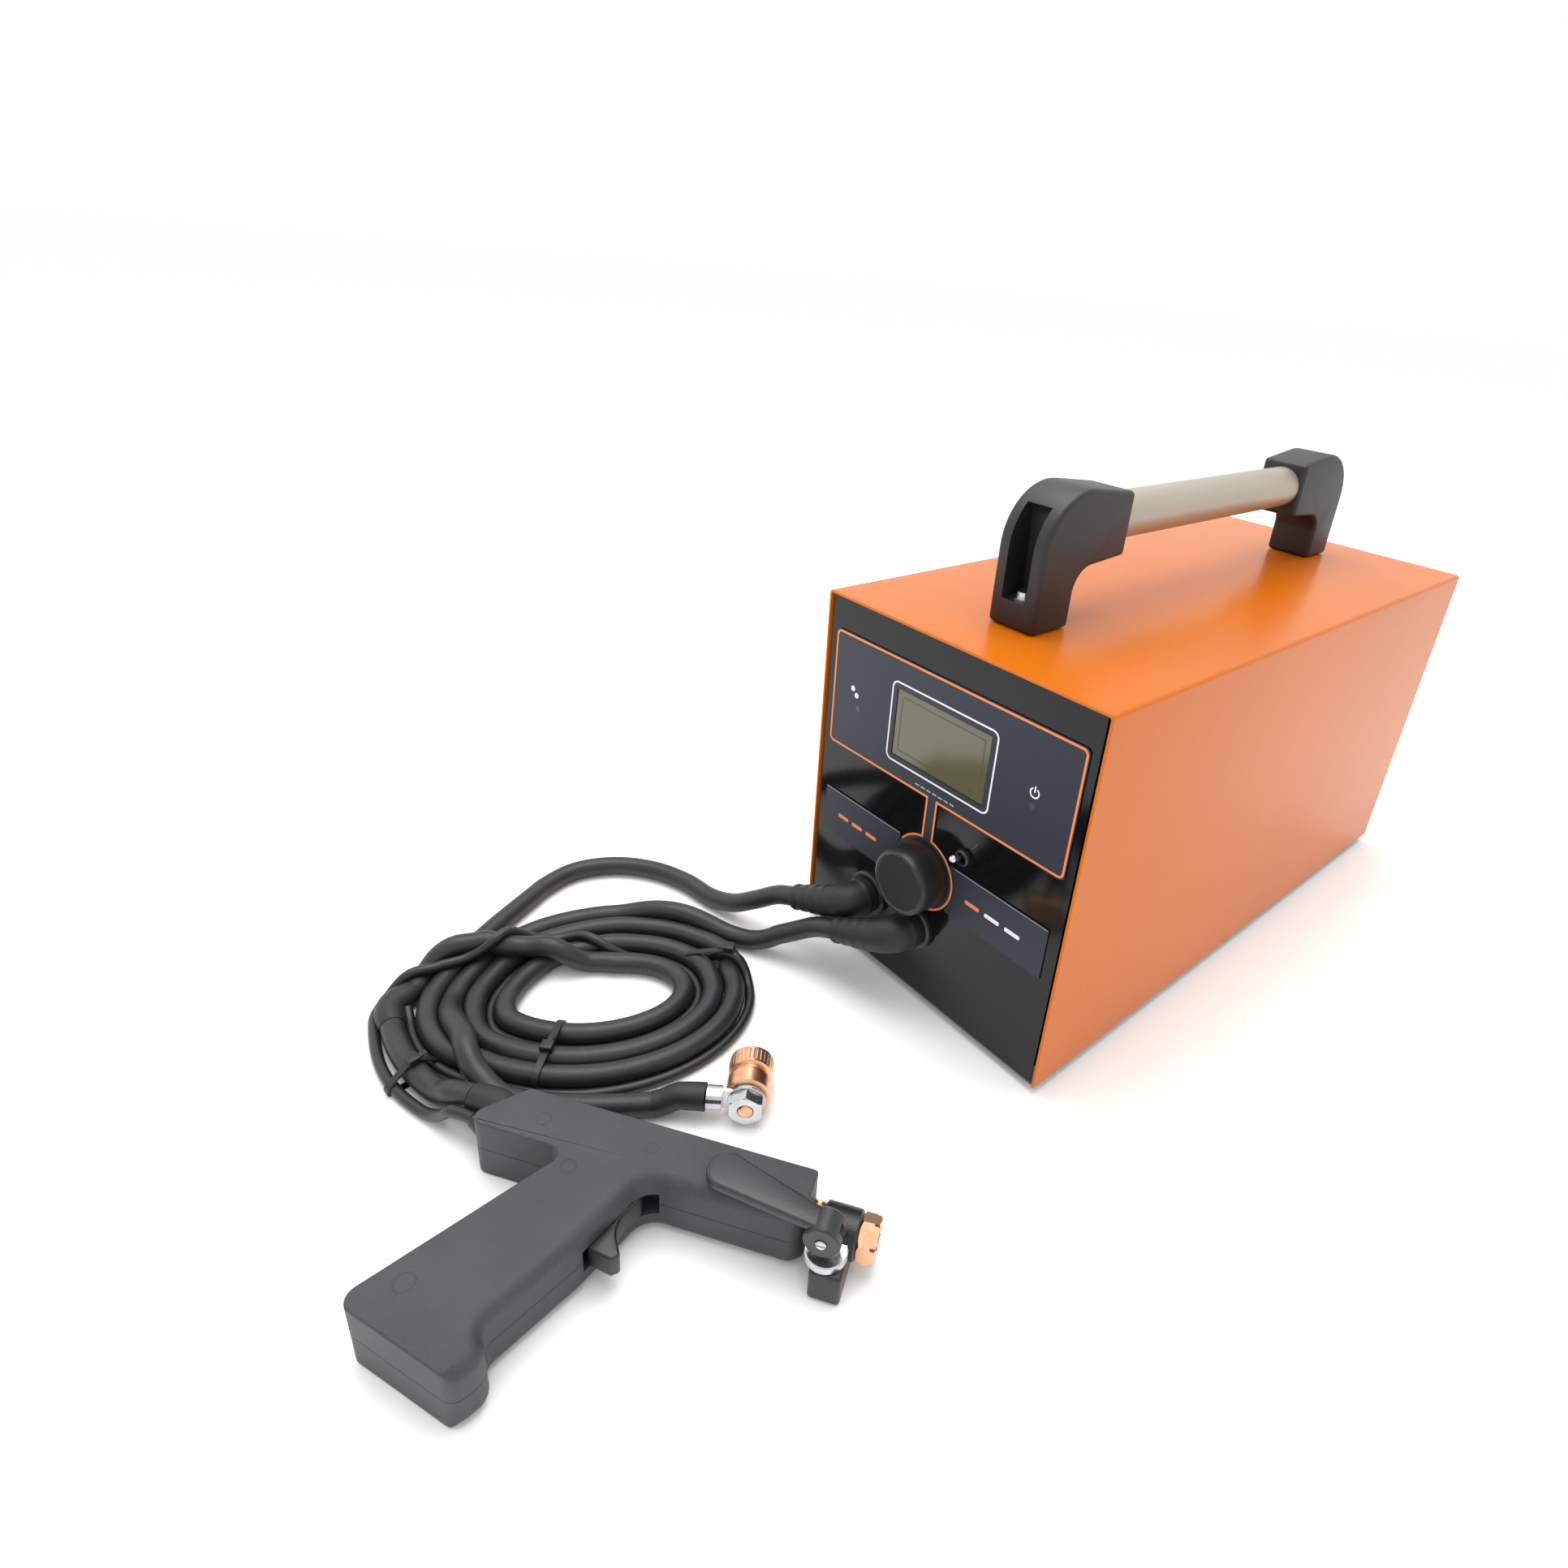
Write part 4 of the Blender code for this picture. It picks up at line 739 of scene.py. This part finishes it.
def add_cover():
    """The folded top and sides: one sheet with small bend radii."""
    half = WIDTH / 2
    outer = rounded([(-half, GAP, 0), (-half, HEIGHT, 0.0024), (half, HEIGHT, 0.0024), (half, GAP, 0)], 6)
    inner = rounded([(half - SHEET, GAP, 0), (half - SHEET, HEIGHT - SHEET, 0.0012),
                     (-half + SHEET, HEIGHT - SHEET, 0.0012), (-half + SHEET, GAP, 0)], 4)
    shape = bmesh.new()
    rows = []
    for y, shrink in ((-LENGTH / 2, 0.00035), (-LENGTH / 2 + 0.00035, 0), (LENGTH / 2 - 0.00035, 0),
                      (LENGTH / 2, 0.00035)):
        rows.append([shape.verts.new((x - math.copysign(shrink, x), y, z - (shrink if z > 0.1 else 0)))
                     for x, z in outer] + [shape.verts.new((x, y, z)) for x, z in inner])
    skin(shape, rows)
    add_piece("cover_sheet", finish_mesh(shape, 30), ORANGE, replaces=("cover",))


def flat_print(name, outlines, material, depth=0.00012, y=PRINT_Y):
    """A thin printed shape on the panel's front, drawn in (x, z)."""
    mesh = flat_curve(name, outlines, depth)
    place = Matrix.Translation((0, y - depth / 2 - 0.00002, 0)) @ UPRIGHT
    return add_piece(name, mesh, material, matrix=place)


def rectangle(x0, x1, z0, z1, radius=0, steps=3):
    return rounded([(x0, z0, radius), (x1, z0, radius), (x1, z1, radius), (x0, z1, radius)], steps)


def line_print(name, path, width, material, closed=False):
    """A printed line of one width along (x, z) points."""
    outer, inner = offset_line(path, width / 2, closed), offset_line(path, -width / 2, closed)
    outlines = [outer, inner] if closed else [outer + inner[::-1]]
    return flat_print(name, outlines, material)


def offset_line(path, distance, closed):
    points = []
    for point in path:
        if not points or (Vector(point) - points[-1]).length > 0.00002:
            points.append(Vector(point))
    if closed and (points[0] - points[-1]).length < 0.00002:
        points.pop()
    moved = []
    for index, point in enumerate(points):
        before = points[index - 1] if closed or index else None
        after = points[(index + 1) % len(points)] if closed or index < len(points) - 1 else None
        normals = []
        for first, second in ((before, point), (point, after)):
            if first is not None and second is not None and (second - first).length > 1e-7:
                step = (second - first).normalized()
                normals.append(Vector((-step.y, step.x)))
        normal = sum(normals, Vector((0, 0))).normalized()
        stretch = 1 / max(0.5, normal.dot(normals[0]))
        moved.append(tuple(point + normal * distance * stretch))
    return moved


def arc(x, z, radius, start, end, steps=18):
    return [(x + radius * math.cos(math.radians(start + (end - start) * step / steps)),
             z + radius * math.sin(math.radians(start + (end - start) * step / steps))) for step in range(steps + 1)]


def add_panel_prints():
    """Outline of the membrane, frame of the display, plain icons and the light edges of the strips."""
    knob_x, knob_z, ring = -0.001, 0.086, 0.0232
    low, high, left, right = 0.1352, 0.2078, -0.0903, 0.0903
    neck_left, neck_right = knob_x - 0.0037, knob_x + 0.0037
    band = rounded([(neck_left, low, 0.0015), (left, low, 0.003), (left, high, 0.003), (right, high, 0.003),
                    (right, low, 0.003), (neck_right, low, 0.0015)], 5)
    left_arc = arc(knob_x, knob_z, ring, 145, 99.2)
    right_arc = arc(knob_x, knob_z, ring, 80.8, -80, 36)
    line_print("membrane_outline", left_arc + band + right_arc, 0.0013, OUTLINE)
    frame_line = rectangle(-0.0405, 0.0380, 0.1452, 0.1942, 0.004, 6)
    line_print("display_frame", frame_line, 0.0010, WHITE_PRINT, closed=True)
    for step in range(7):
        x = -0.0150 + 0.0045 * step
        flat_print(f"caption_bar_{step}", [rectangle(x, x + 0.0032, 0.1385, 0.1395)], GREY_PRINT)
    for name, x, z, radius in (("spot_dot_high", -0.0735, 0.1757, 0.0017), ("spot_dot_low", -0.0700, 0.1722, 0.0017)):
        flat_print(name, [circle(x, z, radius, 20)], WHITE_PRINT)
    line_print("power_ring", arc(0.0652, 0.1726, 0.0027, 60, -240, 24), 0.0008, WHITE_PRINT)
    flat_print("power_bar", [rectangle(0.0648, 0.0656, 0.1728, 0.1764)], WHITE_PRINT)
    for name, x, z in (("led_left", -0.0680, 0.1646), ("led_right", 0.0650, 0.1650)):
        flat_print(name, [circle(x, z, 0.0019, 20)], LED_WINDOW)
    for name, x0, x1 in (("strip_edge_left", -0.0895, -0.0225), ("strip_edge_right", 0.0225, 0.0885)):
        flat_print(name, [rectangle(x0, x1, 0.1012, 0.1016)], GREY_PRINT)
    for step in range(3):
        x = -0.0770 + 0.0130 * step
        flat_print(f"strip_mark_left_{step}", [rectangle(x, x + 0.0095, 0.0845, 0.0870, 0.0008)], OUTLINE)
        x = 0.0330 + 0.0145 * step
        flat_print(f"strip_mark_right_{step}", [rectangle(x, x + 0.0105, 0.0845, 0.0870, 0.0008)],
                   WHITE_PRINT if step else OUTLINE)
    x0, x1, z0, z1, line = -0.0330, 0.0300, 0.1525, 0.1865, 0.0008
    glass_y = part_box("display_window")[0][1]
    flat_print("lcd_border", [rectangle(x0, x1, z0, z1, 0.001),
                              rectangle(x0 + line, x1 - line, z0 + line, z1 - line, 0.001)],
               LCD_FAINT, y=glass_y)


def add_controls():
    """Knob with a chamfered face, and a painted reflection: the knob's highlight mirrored in the glossy panel, modelled
    as a small bat toggle in its bush and nut.
    """
    face_back = PANEL_FACE - 0.0014
    knob_place = Matrix.Translation((-0.001, face_back, 0.086)) @ UPRIGHT
    add_piece("knob_cap", turned_mesh([
        (0, 0), (0.0203, 0), (0.0205, 0.0006), (0.0203, 0.0150), (0.0199, 0.0180), (0.0192, 0.0193), (0.0178, 0.0199),
        (0.0172, 0.0197), (0.0166, 0.0190), (0.0100, 0.0187), (0, 0.0187)], 96), KNOB_BLACK, body="knob",
        replaces=("control_knob",), matrix=knob_place)
    # painted reflection: this steel bat and the dark ring under it stand where the glossy panel mirrors the knob's
    # highlight
    knob_reflection_place = Matrix.Translation((0.027, PANEL_FACE + 0.001, 0.112)) @ UPRIGHT @ Matrix.Rotation(
        math.radians(-14), 4, "X")
    add_piece("knob_reflection_bat", turned_mesh([
        (0, 0), (0.0012, 0), (0.0013, 0.0040), (0.0020, 0.0100), (0.0021, 0.0113), (0.0015, 0.0123), (0, 0.0125)], 32),
        STEEL, body="toggle", replaces=("toggle_lever",), matrix=knob_reflection_place)
    add_piece("knob_reflection_ring", turned_mesh([
        (0.0035, 0.0003), (0.0049, 0.0003), (0.0049, 0.0024), (0.0043, 0.0032), (0.0035, 0.0032), (0.0035, 0.0003)], 40),
        DARK_STEEL, replaces=("toggle_bush",), matrix=Matrix.Translation((0.027, PANEL_FACE, 0.112)) @ UPRIGHT)


def add_sockets():
    """Chamfered collars and ribbed rubber elbows where the cables plug in."""
    for name, x, start in (("gun", -0.042, GUN_LEAD[0]), ("ground", -0.002, GROUND_LEAD[0])):
        place = Matrix.Translation((x, PANEL_FACE, 0.0465)) @ UPRIGHT
        add_piece(f"{name}_socket_collar", turned_mesh([
            (0, 0.0003), (0.0145, 0.0003), (0.0145, 0.0030), (0.0135, 0.0041), (0.0118, 0.0043), (0, 0.0043)], 64),
            DARK_STEEL, replaces=(f"{name}_socket",), matrix=place)
        begin = Vector((x, PANEL_FACE - 0.0050, 0.0465))
        end = Vector(start) + Vector((0.0006, 0.0002, 0.0002))
        line = smooth_line([begin, begin + Vector((0, -0.006, 0)), begin + Vector((-0.003, -0.013, -0.001)),
                            begin + Vector((-0.012, -0.0185, -0.0045)), end], 0.0006)
        count = len(line) - 1
        radii = []
        for index in range(count + 1):
            t = index / count
            base = 0.0115 + (0.0079 - 0.0115) * (t * t * (3 - 2 * t))
            in_grip = 0.50 < t < 0.97
            rib = 0.0004 * (math.sin(math.pi * (t - 0.50) * 14) > 0) if in_grip else 0.0
            lip = 0.0006 if t < 0.10 else 0.0
            radii.append(min(0.0119, base + rib + lip))
        radii[0] -= 0.0008
        radii[-1] -= 0.0005
        add_piece(f"{name}_elbow", swept_mesh(line, radii, 32), RUBBER, replaces=(f"{name}_cable_boot",))


add_cover()
add_panel_prints()
add_controls()
add_sockets()

# ---------------------------------------------------------------- handle

def add_handle():
    """Moulded end brackets with an open screw pocket, and the tube between them."""
    tube_z = HEIGHT + 0.055
    for sign, end in ((-1, "front"), (1, "rear")):
        base, top = HEIGHT + GAP, HEIGHT + 0.082
        top -= 0.0004
        profile = rounded([(sign * 0.181, base, 0), (sign * 0.181, top, 0.034), (sign * 0.106, top - 0.009, 0.003),
                           (sign * 0.106, tube_z - 0.019, 0.003), (sign * 0.149, tube_z - 0.022, 0.014),
                           (sign * 0.149, base, 0)], 14)
        mesh = flat_curve("bracket", [profile], 0.032)
        item = add_piece(f"handle_end_{end}", place_mesh(mesh, SIDEWAYS), BLACK_PLASTIC,
                         replaces=(f"handle_bracket_{end}",))
        apply_modifier(item, "BEVEL", width=0.0034, segments=4, limit_method="ANGLE", angle_limit=math.radians(50))
        pocket = flat_curve("pocket", [rounded([
            (sign * 0.163, HEIGHT + 0.016, 0.003), (sign * 0.192, HEIGHT + 0.016, 0),
            (sign * 0.192, HEIGHT + 0.069, 0), (sign * 0.166, HEIGHT + 0.069, 0.010)], 8)], 0.0165)
        cut(item, place_mesh(pocket, SIDEWAYS))
        bore = turned_mesh([(0, -0.020), (0.0141, -0.020), (0.0141, 0.020), (0, 0.020)], 64)
        cut(item, bore, Matrix.Translation((0, sign * 0.1063, tube_z)) @ UPRIGHT)
    for sign, end in ((-1, "front"), (1, "rear")):
        washer = turned_mesh([(0.0042, 0), (0.0068, 0), (0.0068, 0.0008), (0.0042, 0.0008), (0.0042, 0)], 40)
        add_piece(f"handle_washer_{end}", washer, STEEL,
                  matrix=Matrix.Translation((0, sign * 0.171, HEIGHT + 0.0161)))
    add_piece("handle_tube_body", turned_mesh([
        (0, -0.1255), (0.0130, -0.1255), (0.0138, -0.1247), (0.0138, 0.1247), (0.0130, 0.1255), (0, 0.1255)], 96),
        TUBE_METAL, replaces=("handle_tube",), matrix=Matrix.Translation((0, 0, tube_z)) @ UPRIGHT)


add_handle()

# ---------------------------------------------------------------- welding gun

GUN = Matrix.Translation((-0.0391, -0.4480, 0)) @ Matrix.Rotation(math.radians(34), 4, "Z")
GUN_HIGH = 0.028
GUN_MIDDLE = (FLOOR + GUN_HIGH) / 2
SHELL = (GUN_HIGH - FLOOR - GAP) / 2
BORE_Y = -0.0135
BARREL_END = 0.147


def gun_outline():
    return rounded([
        (0.000, 0.000, 0.002), (BARREL_END, 0.000, 0.002), (BARREL_END, -0.0265, 0.0075), (0.0730, -0.0265, 0.012),
        (0.0605, -0.0640, 0.030), (0.0425, -0.1040, 0.006), (0.0510, -0.1120, 0.0070), (0.0445, -0.1250, 0.0070),
        (-0.0150, -0.1130, 0.006), (0.0350, -0.0258, 0.005), (-0.0130, -0.0258, 0.006), (-0.0185, -0.0215, 0.005)], 9)


def edge_radius(point):
    """How far the shell's outer edge is rounded: well ahead of the grip, little along the back."""
    x, y = point
    ahead_of_grip = y < -0.0215 and x > 0.038 + 0.46 * (y + 0.020)
    on_butt = y < -0.110 and x < 0.043
    return 0.0064 if ahead_of_grip and not on_butt else 0.0010


def even_loop(outline, spacing):
    loop = [Vector(point) for point in outline]
    points = []
    for index, point in enumerate(loop):
        after = loop[(index + 1) % len(loop)]
        count = max(1, round((after - point).length / spacing))
        points += [point.lerp(after, step / count) for step in range(count)]
    return points


def shell_half(side):
    """One half of the gun's shell: its outline drawn outwards, its outer edge rolled over by a varying radius."""
    loop = even_loop(gun_outline(), 0.0016)
    count = len(loop)
    radii = [edge_radius(point) for point in loop]
    for _ in range(5):
        radii = [(radii[index - 1] + 2 * radii[index] + radii[(index + 1) % count]) / 4 for index in range(count)]
    inward = []
    for index in range(count):
        along = loop[(index + 1) % count] - loop[index - 1]
        inward.append(Vector((along.y, -along.x)).normalized())
    for _ in range(2):
        inward = [(inward[index - 1] + 2 * inward[index] + inward[(index + 1) % count]).normalized()
                  for index in range(count)]
    shape = bmesh.new()
    rings = [[shape.verts.new((point.x, point.y, 0)) for point in loop]]
    levels = 8
    for level in range(levels + 1):
        turn = math.pi / 2 * level / levels
        ring = []
        for point, radius, inner in zip(loop, radii, inward):
            moved = point + inner * radius * (1 - math.cos(turn))
            ring.append(shape.verts.new((moved.x, moved.y, side * (SHELL - radius + radius * math.sin(turn)))))
        rings.append(ring)
    skin(shape, rings)
    return finish_mesh(shape, 40)


def add_gun_shells():
    for name, node, side in (("gun_half_upper", "gun_shell_upper", 1), ("gun_half_lower", "gun_shell_lower", -1)):
        place = GUN @ Matrix.Translation((0, 0, GUN_MIDDLE + side * GAP / 2))
        item = add_piece(name, shell_half(side), GUN_PLASTIC, replaces=(node,), matrix=place)
        bore = turned_mesh([(0, -0.2), (0.0053, -0.2), (0.0053, 0.2), (0, 0.2)], 40)
        cut(item, bore, GUN @ Matrix.Translation((0.21, BORE_Y, GUN_MIDDLE)) @ ALONG_X)
        cut(item, box_mesh((0.0445, -0.0612, GUN_MIDDLE - 0.0064), (0.0800, -0.0198, GUN_MIDDLE + 0.0064)), GUN)


def add_gun_marks():
    """Faint round ejector marks moulded in the gun's flat side."""
    for index, (x, y, radius) in enumerate(((0.0150, -0.0140, 0.0034), (0.0390, -0.0330, 0.0034),
                                            (0.0700, -0.0130, 0.0030), (0.0060, -0.0990, 0.0042))):
        ring = turned_mesh([(radius - 0.00035, 0), (radius + 0.00035, 0), (radius + 0.0002, 0.00016),
                            (radius - 0.0002, 0.00016), (radius - 0.00035, 0)], 40)
        add_piece(f"gun_mark_{index}", ring, GUN_PLASTIC,
                  matrix=GUN @ Matrix.Translation((x, y, GUN_HIGH - 0.00002)))


def add_trigger():
    outline = rounded([
        (0.0635, -0.0205, 0.002), (0.0705, -0.0205, 0.002), (0.0735, -0.0300, 0.005), (0.0672, -0.0450, 0.012),
        (0.0768, -0.0572, 0.0016), (0.0735, -0.0600, 0.0012), (0.0620, -0.0585, 0.002), (0.0545, -0.0480, 0.004),
        (0.0590, -0.0330, 0.004)], 8)
    mesh = flat_curve("trigger_blade", [outline], 0.0119)
    item = add_piece("trigger_blade", mesh, GUN_FRONT, body="finger_trigger", replaces=("trigger",),
                     matrix=GUN @ Matrix.Translation((0, 0, GUN_MIDDLE)))
    apply_modifier(item, "BEVEL", width=0.0011, segments=3, limit_method="ANGLE", angle_limit=math.radians(50))


def add_nose():
    """Brass conductor with its ribbed neck, black holder, and the slotted copper nut."""
    along = GUN @ Matrix.Translation((0, BORE_Y, GUN_MIDDLE)) @ ALONG_X
    profile = [(0, 0.1300), (0.0050, 0.1300), (0.0050, BARREL_END + 0.0003)]
    for rib in range(2):
        start = BARREL_END + 0.0006 + 0.0032 * rib
        profile += [(0.0078, start), (0.0096, start + 0.0004), (0.0098, start + 0.0010), (0.0098, start + 0.0018),
                    (0.0094, start + 0.0023), (0.0076, start + 0.0026)]
    profile += [(0.0050, BARREL_END + 0.0066), (0.0050, 0.1700), (0, 0.1702)]
    add_piece("conductor_rod", turned_mesh(profile, 64), BRASS, replaces=("gun_conductor",), matrix=along)

    start, end = BARREL_END + 0.0068, 0.1710
    holder = add_piece("holder_body", turned_mesh([
        (0, start), (0.0100, start), (0.0108, start + 0.0008), (0.0108, end - 0.0008), (0.0100, end), (0, end)], 64),
        GUN_FRONT, replaces=("electrode_holder",), matrix=along)
    foot = box_mesh((start + 0.0002, -0.0368, FLOOR + 0.0005), (0.1688, -0.0135, 0.0118), 0.0016)
    cut(holder, foot, GUN, "UNION")
    bore = turned_mesh([(0, start - 0.01), (0.0053, start - 0.01), (0.0053, end + 0.01), (0, end + 0.01)], 40)
    cut(holder, bore, along)

    nut = add_piece("electrode_hex_nut", hexagon_mesh(0.0104, end + 0.0004, end + 0.0086, 0.0054, 0.0012), COPPER,
                    body="nose_nut", replaces=("electrode_nut",), matrix=along)
    for angle in (0, 60, 120):
        slot_cutter = box_mesh((-0.02, -0.0007, end + 0.0062), (0.02, 0.0007, end + 0.02))
        cut(nut, slot_cutter, along @ Matrix.Rotation(math.radians(angle), 4, "Z"))


def add_clamp():
    """Steel ring and post, cross pin and the folding lever."""
    x, y, z = 0.158, -0.0282, GUN_HIGH
    post = add_piece("clamp_ring", turned_mesh([
        (0, 0.0123), (0.0094, 0.0123), (0.0098, 0.0127), (0.0098, 0.0158), (0.0092, 0.0163), (0, 0.0163)], 64), STEEL,
        replaces=("clamp_post",), matrix=GUN @ Matrix.Translation((x + 0.001, y + 0.0012, 0)))
    cut(post, turned_mesh([(0, 0.14), (0.0112, 0.14), (0.0112, 0.19), (0, 0.19)], 64),
        GUN @ Matrix.Translation((0, BORE_Y, GUN_MIDDLE)) @ ALONG_X)
    lug = add_piece("clamp_lug", box_mesh((x - 0.0050, y - 0.0021, 0.0160), (x + 0.0050, y + 0.0021, z), 0.0), STEEL,
                    matrix=GUN)
    across = GUN @ Matrix.Translation((x, y, z)) @ UPRIGHT
    cut(lug, turned_mesh([(0, -0.0021), (0.0050, -0.0021), (0.0050, 0.0021), (0, 0.0021)], 48), across, "UNION")
    cut(lug, turned_mesh([(0, -0.01), (0.0028, -0.01), (0.0028, 0.01), (0, 0.01)], 32), across)

    eye = 0.0062
    lever = add_piece("lever_body", turned_mesh([
        (0, -eye), (0.0078, -eye), (0.0085, -eye + 0.0007), (0.0085, eye - 0.0007), (0.0078, eye), (0, eye)], 64),
        LEVER_PLASTIC, body="lever", replaces=("clamp_lever",), matrix=across)
    arm = flat_curve("arm", [rounded([
        (x - 0.002, y + eye - 0.001, 0), (0.1010, -0.0060, 0.009), (0.0990, -0.0265, 0.009),
        (x - 0.002, y - eye + 0.001, 0)], 12)], 0.0050)
    arm_item = bpy.data.objects.new("arm", arm)
    bpy.context.scene.collection.objects.link(arm_item)
    apply_modifier(arm_item, "BEVEL", width=0.0019, segments=4, limit_method="ANGLE", angle_limit=math.radians(60))
    arm_mesh = arm_item.data
    bpy.data.objects.remove(arm_item)
    cut(lever, arm_mesh, GUN @ Matrix.Translation((0, 0, z + 0.0085 - 0.0027)), "UNION")
    cut(lever, box_mesh((x - 0.0110, y - 0.0024, z - 0.010), (x + 0.0110, y + 0.0024, z + 0.0054)), GUN)
    cut(lever, turned_mesh([(0, -0.02), (0.0028, -0.02), (0.0028, 0.02), (0, 0.02)], 32), across)
    pin = add_piece("lever_pin", turned_mesh([
        (0, -0.0071), (0.0020, -0.0071), (0.0025, -0.0066), (0.0025, 0.0066), (0.0020, 0.0071), (0, 0.0071)], 40),
        STEEL, replaces=("clamp_pin",), matrix=across)
    cut(pin, box_mesh((-0.004, -0.0004, 0.0064), (0.004, 0.0004, 0.009)), across)


def add_reliefs():
    """Tapered sleeves at the rear of the gun."""
    heavy = Vector(GUN_TAIL[-1]) + Vector((0.0009, 0.0003, 0))
    line = smooth_line([(-0.0425, -0.4582, 0.0110), (-0.0535, -0.4602, 0.0112), heavy], 0.001)
    count = len(line) - 1
    add_piece("gun_heavy_relief", swept_mesh(line, [0.0086 - 0.0010 * index / count for index in range(count + 1)], 32),
              RUBBER, replaces=("gun_cable_relief",))
    light = Vector(THIN_TAIL[-1]) + Vector((0.0012, 0.0003, 0))
    line = smooth_line([(-0.0425, -0.4712, 0.0118), light], 0.001)
    add_piece("gun_thin_relief", swept_mesh(line, [0.0038] * len(line), 24), RUBBER,
              replaces=("control_cable_relief",))


add_gun_shells()
add_gun_marks()
add_trigger()
add_nose()
add_clamp()
add_reliefs()

# ---------------------------------------------------------------- rear panel

def add_rear():
    """Wire guard of round wire and the screws of the rear panel."""
    centre = Matrix.Translation((-0.036, REAR_FACE + 0.0015, 0.120)) @ UPRIGHT
    shape = bmesh.new()

    def ring(radius, wire):
        loops = []
        for step in range(64):
            angle = 2 * math.pi * step / 64
            out = Vector((math.cos(angle), math.sin(angle), 0))
            loops.append([shape.verts.new(out * (radius + wire * math.cos(a)) + Vector((0, 0, wire * math.sin(a))))
                          for a in (2 * math.pi * k / 10 for k in range(10))])
        for index in range(64):
            first, second = loops[index], loops[(index + 1) % 64]
            for k in range(10):
                shape.faces.new((first[k], first[(k + 1) % 10], second[(k + 1) % 10], second[k]))

    for radius in (0.016, 0.025, 0.034, 0.0445):
        ring(radius, 0.0010)
    add_piece("fan_guard_rings", finish_mesh(shape), STEEL, replaces=("fan_guard",), matrix=centre)
    for index, angle in enumerate((45, 135)):
        spoke = turned_mesh([(0, -0.0500), (0.0009, -0.0500), (0.0009, 0.0500), (0, 0.0500)], 16)
        add_piece(f"fan_guard_spoke_{index}", spoke, STEEL,
                  matrix=centre @ Matrix.Rotation(math.radians(angle), 4, "Z") @ ALONG_X)
    for index, (x, z) in enumerate(((-0.088, 0.012), (0.088, 0.012), (-0.088, 0.218), (0.088, 0.218),
                                    (-0.0715, 0.0845), (-0.0005, 0.0845), (-0.0715, 0.1555), (-0.0005, 0.1555))):
        head = turned_mesh([(0, 0), (0.0036, 0), (0.0034, 0.0008), (0.0022, 0.0014), (0, 0.0015)], 32)
        place = Matrix.Translation((x, REAR_FACE, z)) @ Matrix.Rotation(-math.pi / 2, 4, "X")
        item = add_piece(f"rear_screw_{index}", head, STEEL, matrix=place)
        for turn in (0, 90):
            cut(item, box_mesh((-0.0019, -0.0004, 0.0008), (0.0019, 0.0004, 0.003)),
                place @ Matrix.Rotation(math.radians(turn), 4, "Z"))


add_rear()

for finish, names in CAD_FINISHES.items():
    for name in names:
        set_material(node_object(name), finish)

# ---------------------------------------------------------------- floor and light

def add_stage():
    bpy.ops.mesh.primitive_plane_add(size=60, location=(0, 0, FLOOR - 0.0002))
    floor = bpy.context.object
    floor.name = "studio_floor"
    set_material(floor, STUDIO_FLOOR)


def add_area(name, place, target, size, power, color=(1, 1, 1)):
    light = bpy.data.lights.new(name, "AREA")
    light.shape = "RECTANGLE"
    light.size, light.size_y = size
    light.energy = power
    light.color = color
    item = bpy.data.objects.new(name, light)
    bpy.context.scene.collection.objects.link(item)
    toward = Vector(target) - Vector(place)
    item.matrix_world = Matrix.Translation(place) @ toward.to_track_quat("-Z", "Y").to_matrix().to_4x4()


def add_lights():
    world = bpy.data.worlds.new("studio")
    world.use_nodes = True
    background = world.node_tree.nodes["Background"]
    background.inputs["Color"].default_value = (1, 1, 1, 1)
    background.inputs["Strength"].default_value = 1.0
    bpy.context.scene.world = world
    add_area("top_softbox", (-0.3, -0.1, 1.9), (0, -0.1, 0.1), (1.6, 1.6), 30)
    add_area("left_softbox", (-1.5, -1.1, 1.1), (0, -0.2, 0.1), (1.0, 1.2), 3)
    add_area("right_softbox", (1.7, -0.4, 1.0), (0, 0, 0.1), (0.9, 1.4), 0.5)
    scene = bpy.context.scene
    scene.view_settings.view_transform = "Standard"
    scene.view_settings.look = "None"


add_stage()
add_lights()
